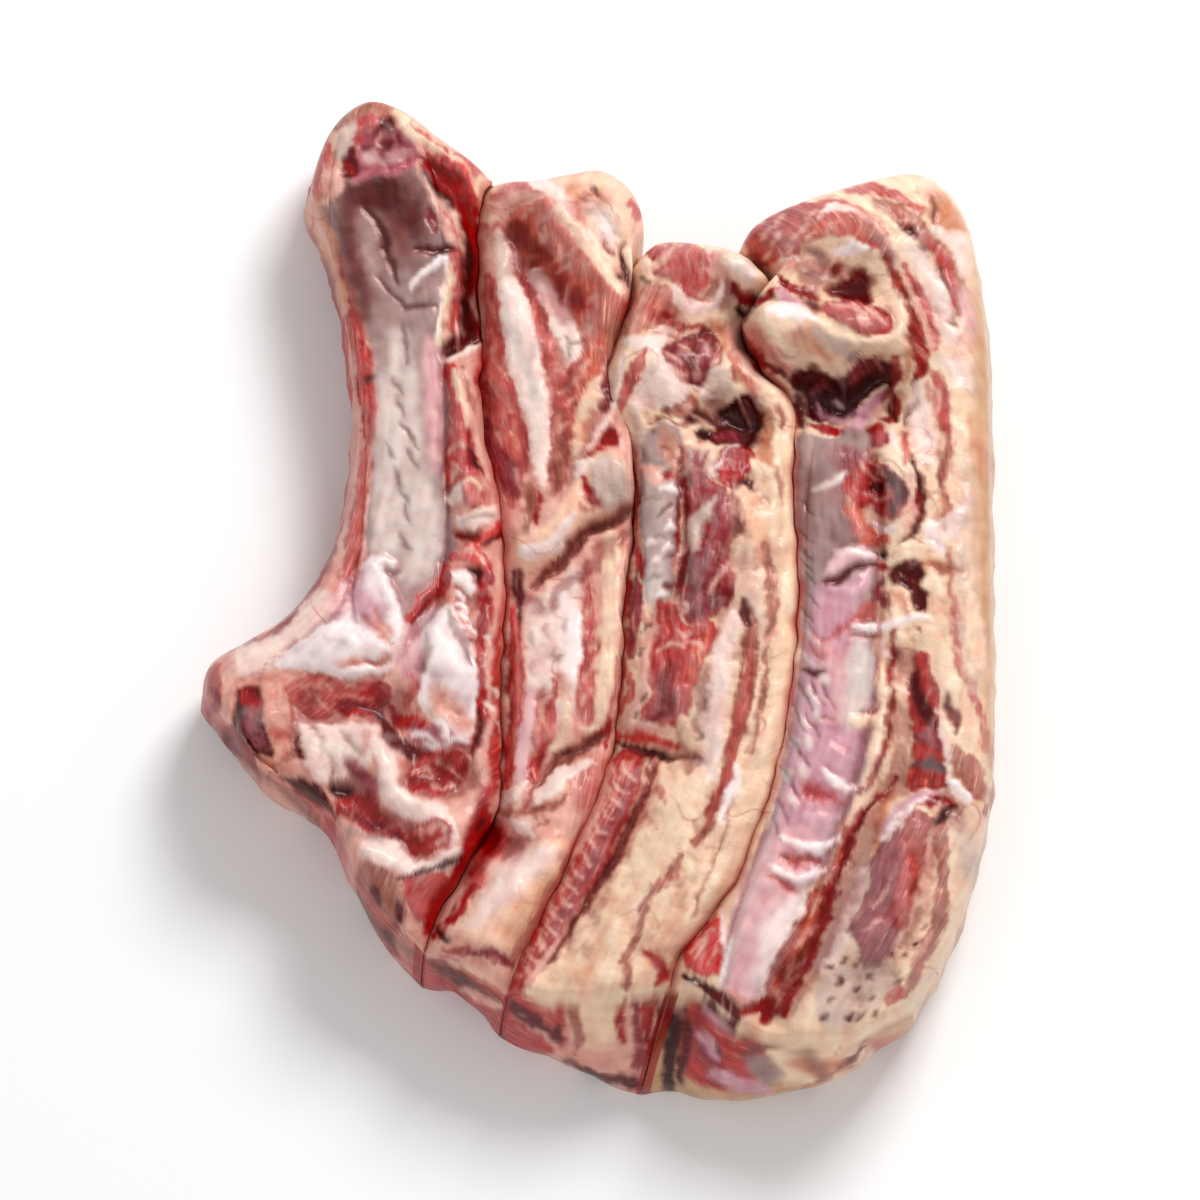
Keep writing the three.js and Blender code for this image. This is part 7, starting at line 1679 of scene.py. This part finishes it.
def make_bone(name, node, bone, surface, material):
    """A flat lens in its bed: its face goes on from the flesh round it, with the same tissues."""
    line = bed_line(bone)
    ahead = np.gradient(line[:, :2], axis=0)
    ahead /= np.hypot(*ahead.T)[:, None]
    caps = np.sin(np.linspace(0.07, 0.99, CAP_ROWS) * math.pi / 2)
    rows = [(xy, way, w, e * w) for e in caps[::-1] for xy, way, w in [(line[0, :2], -ahead[0], line[0, 2])]]
    rows += [(xy, way, w, 0) for xy, way, w in zip(line[:, :2], ahead, line[:, 2])]
    rows += [(xy, way, w, e * w) for e in caps for xy, way, w in [(line[-1, :2], ahead[-1], line[-1, 2])]]
    first = len(caps)
    columns = np.linspace(-1, 1, BONE_COLUMNS)
    columns = np.sign(columns) * (1 - (1 - np.abs(columns)) ** EDGE_CROWDING)
    upper, lower, found = [], [], []
    for k, (xy, way, w, past) in enumerate(rows):
        turned = -way if k < first else way
        side = np.array([-turned[1], turned[0]])
        half = math.sqrt(max(w * w - past * past, 0))
        for s in columns:
            place = xy + way * past + side * s * half
            share = math.hypot(past, s * half) / w
            hit, _, face, _ = surface["tree"].ray_cast(Vector((*place, 100)), Vector((0, 0, -1)))
            if face is None:
                hit, _, face, _ = surface["tree"].find_nearest(Vector((*place, READ_HEIGHT)))
            z = hit[2]
            found.append(face)
            bed = share * w / (w - BED_LAP)
            lens = bone["thick"] * math.sqrt(max(1 - bed * bed, 0))
            upper.append((*place, z + EDGE_LIFT + (FACE_LIFT - EDGE_LIFT) * (1 - share ** 4)))
            lower.append((*place, z + EDGE_LIFT / 2 - lens))
    count, wide = len(rows), len(columns)
    index = np.arange(count * wide).reshape(count, wide)
    corners = [index[:-1, :-1], index[:-1, 1:], index[1:, 1:], index[1:, :-1]]
    quads = np.stack(corners, axis=-1).reshape(-1, 4)
    rim = np.concatenate([index[0, :-1], index[:-1, -1], index[-1, :0:-1], index[:0:-1, 0]])
    faces = quads.tolist() + (quads[:, ::-1] + count * wide).tolist()
    onward = np.roll(rim, -1)
    faces += np.stack([rim, rim + count * wide, onward + count * wide, onward], axis=-1).tolist()
    grain = np.column_stack([np.tile(columns * 8, count), np.repeat(np.arange(count) * 1.0, wide)])
    look = {key: np.concatenate([values, values]) for key, values in look_at(surface, upper, found).items()}
    piece = mesh_piece(name, np.array(upper + lower), faces, look, np.vstack([grain, grain]), material)
    on_rim = set(rim.tolist())
    for edge in piece.data.edges:
        edge.use_edge_sharp = edge.vertices[0] in on_rim and edge.vertices[1] in on_rim
    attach(piece, "root")
    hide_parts(node)


bare_rib = meat_material("bare_rib", 0.2)
make_bone("bare_chine_rib", "chine_rib_bone", CHINE_RIB_BONE, chine_surface, bare_rib)


# ======== Chine bone of the first slice ========
# The stump of the backbone, sawn through and cut across, so that it shows red marrow in a bony rim.
# It sits in the outer corner of the first slice, grown into the flesh under it.

make_bone("sawn_chine", "chine_bone", CHINE_BONE, chine_surface, bare_rib)


# ======== Rib of the third slice ========
# A narrow end of rib, grey under its membrane, seen through an opening between two muscles. The
# flesh of the slice closes over both its ends.

make_bone("bare_third_rib", "third_rib_bone", THIRD_RIB_BONE, third_surface, bare_rib)


# ======== Rib of the fourth slice ========
# A long flat rib that runs nearly the whole slice, grey at its upper end and pink further down.
# Its membrane is wrinkled where it was pulled, and fat laps over its outer edge.

make_bone("bare_rind_rib", "rind_rib_bone", RIND_RIB_BONE, rind_surface, bare_rib)


# ======== Floor and lights ========
# A plain pale floor, a soft lamp high to the upper right, a wide faint one low on the near side
# and an even, bright surround.

floor_mesh = bpy.data.meshes.new("floor")
floor_mesh.from_pydata([(-3, -3, 0), (3, -3, 0), (3, 3, 0), (-3, 3, 0)], [], [(0, 1, 2, 3)])
floor = bpy.data.objects.new("floor", floor_mesh)
paper = bpy.data.materials.new("paper")
paper.use_nodes = True
paper.node_tree.nodes["Principled BSDF"].inputs["Base Color"].default_value = (0.93, 0.93, 0.93, 1)
paper.node_tree.nodes["Principled BSDF"].inputs["Roughness"].default_value = 0.9
floor_mesh.materials.append(paper)
bpy.context.collection.objects.link(floor)


def lamp(name, place, size, watts):
    """A square area lamp that faces the rack."""
    data = bpy.data.lights.new(name, "AREA")
    data.size = size
    data.energy = watts
    made = bpy.data.objects.new(name, data)
    made.location = place
    made.rotation_euler = (-Vector(place)).to_track_quat("-Z", "Y").to_euler()
    bpy.context.collection.objects.link(made)


lamp("key", (0.45, 0.75, 0.9), 0.45, 13)
lamp("fill", (-0.35, -0.95, 0.75), 0.9, 2.8)

world = bpy.data.worlds.new("surround")
world.use_nodes = True
world.node_tree.nodes["Background"].inputs["Color"].default_value = (1, 1, 1, 1)
world.node_tree.nodes["Background"].inputs["Strength"].default_value = 0.5
bpy.context.scene.world = world
bpy.context.scene.view_settings.view_transform = "Standard"
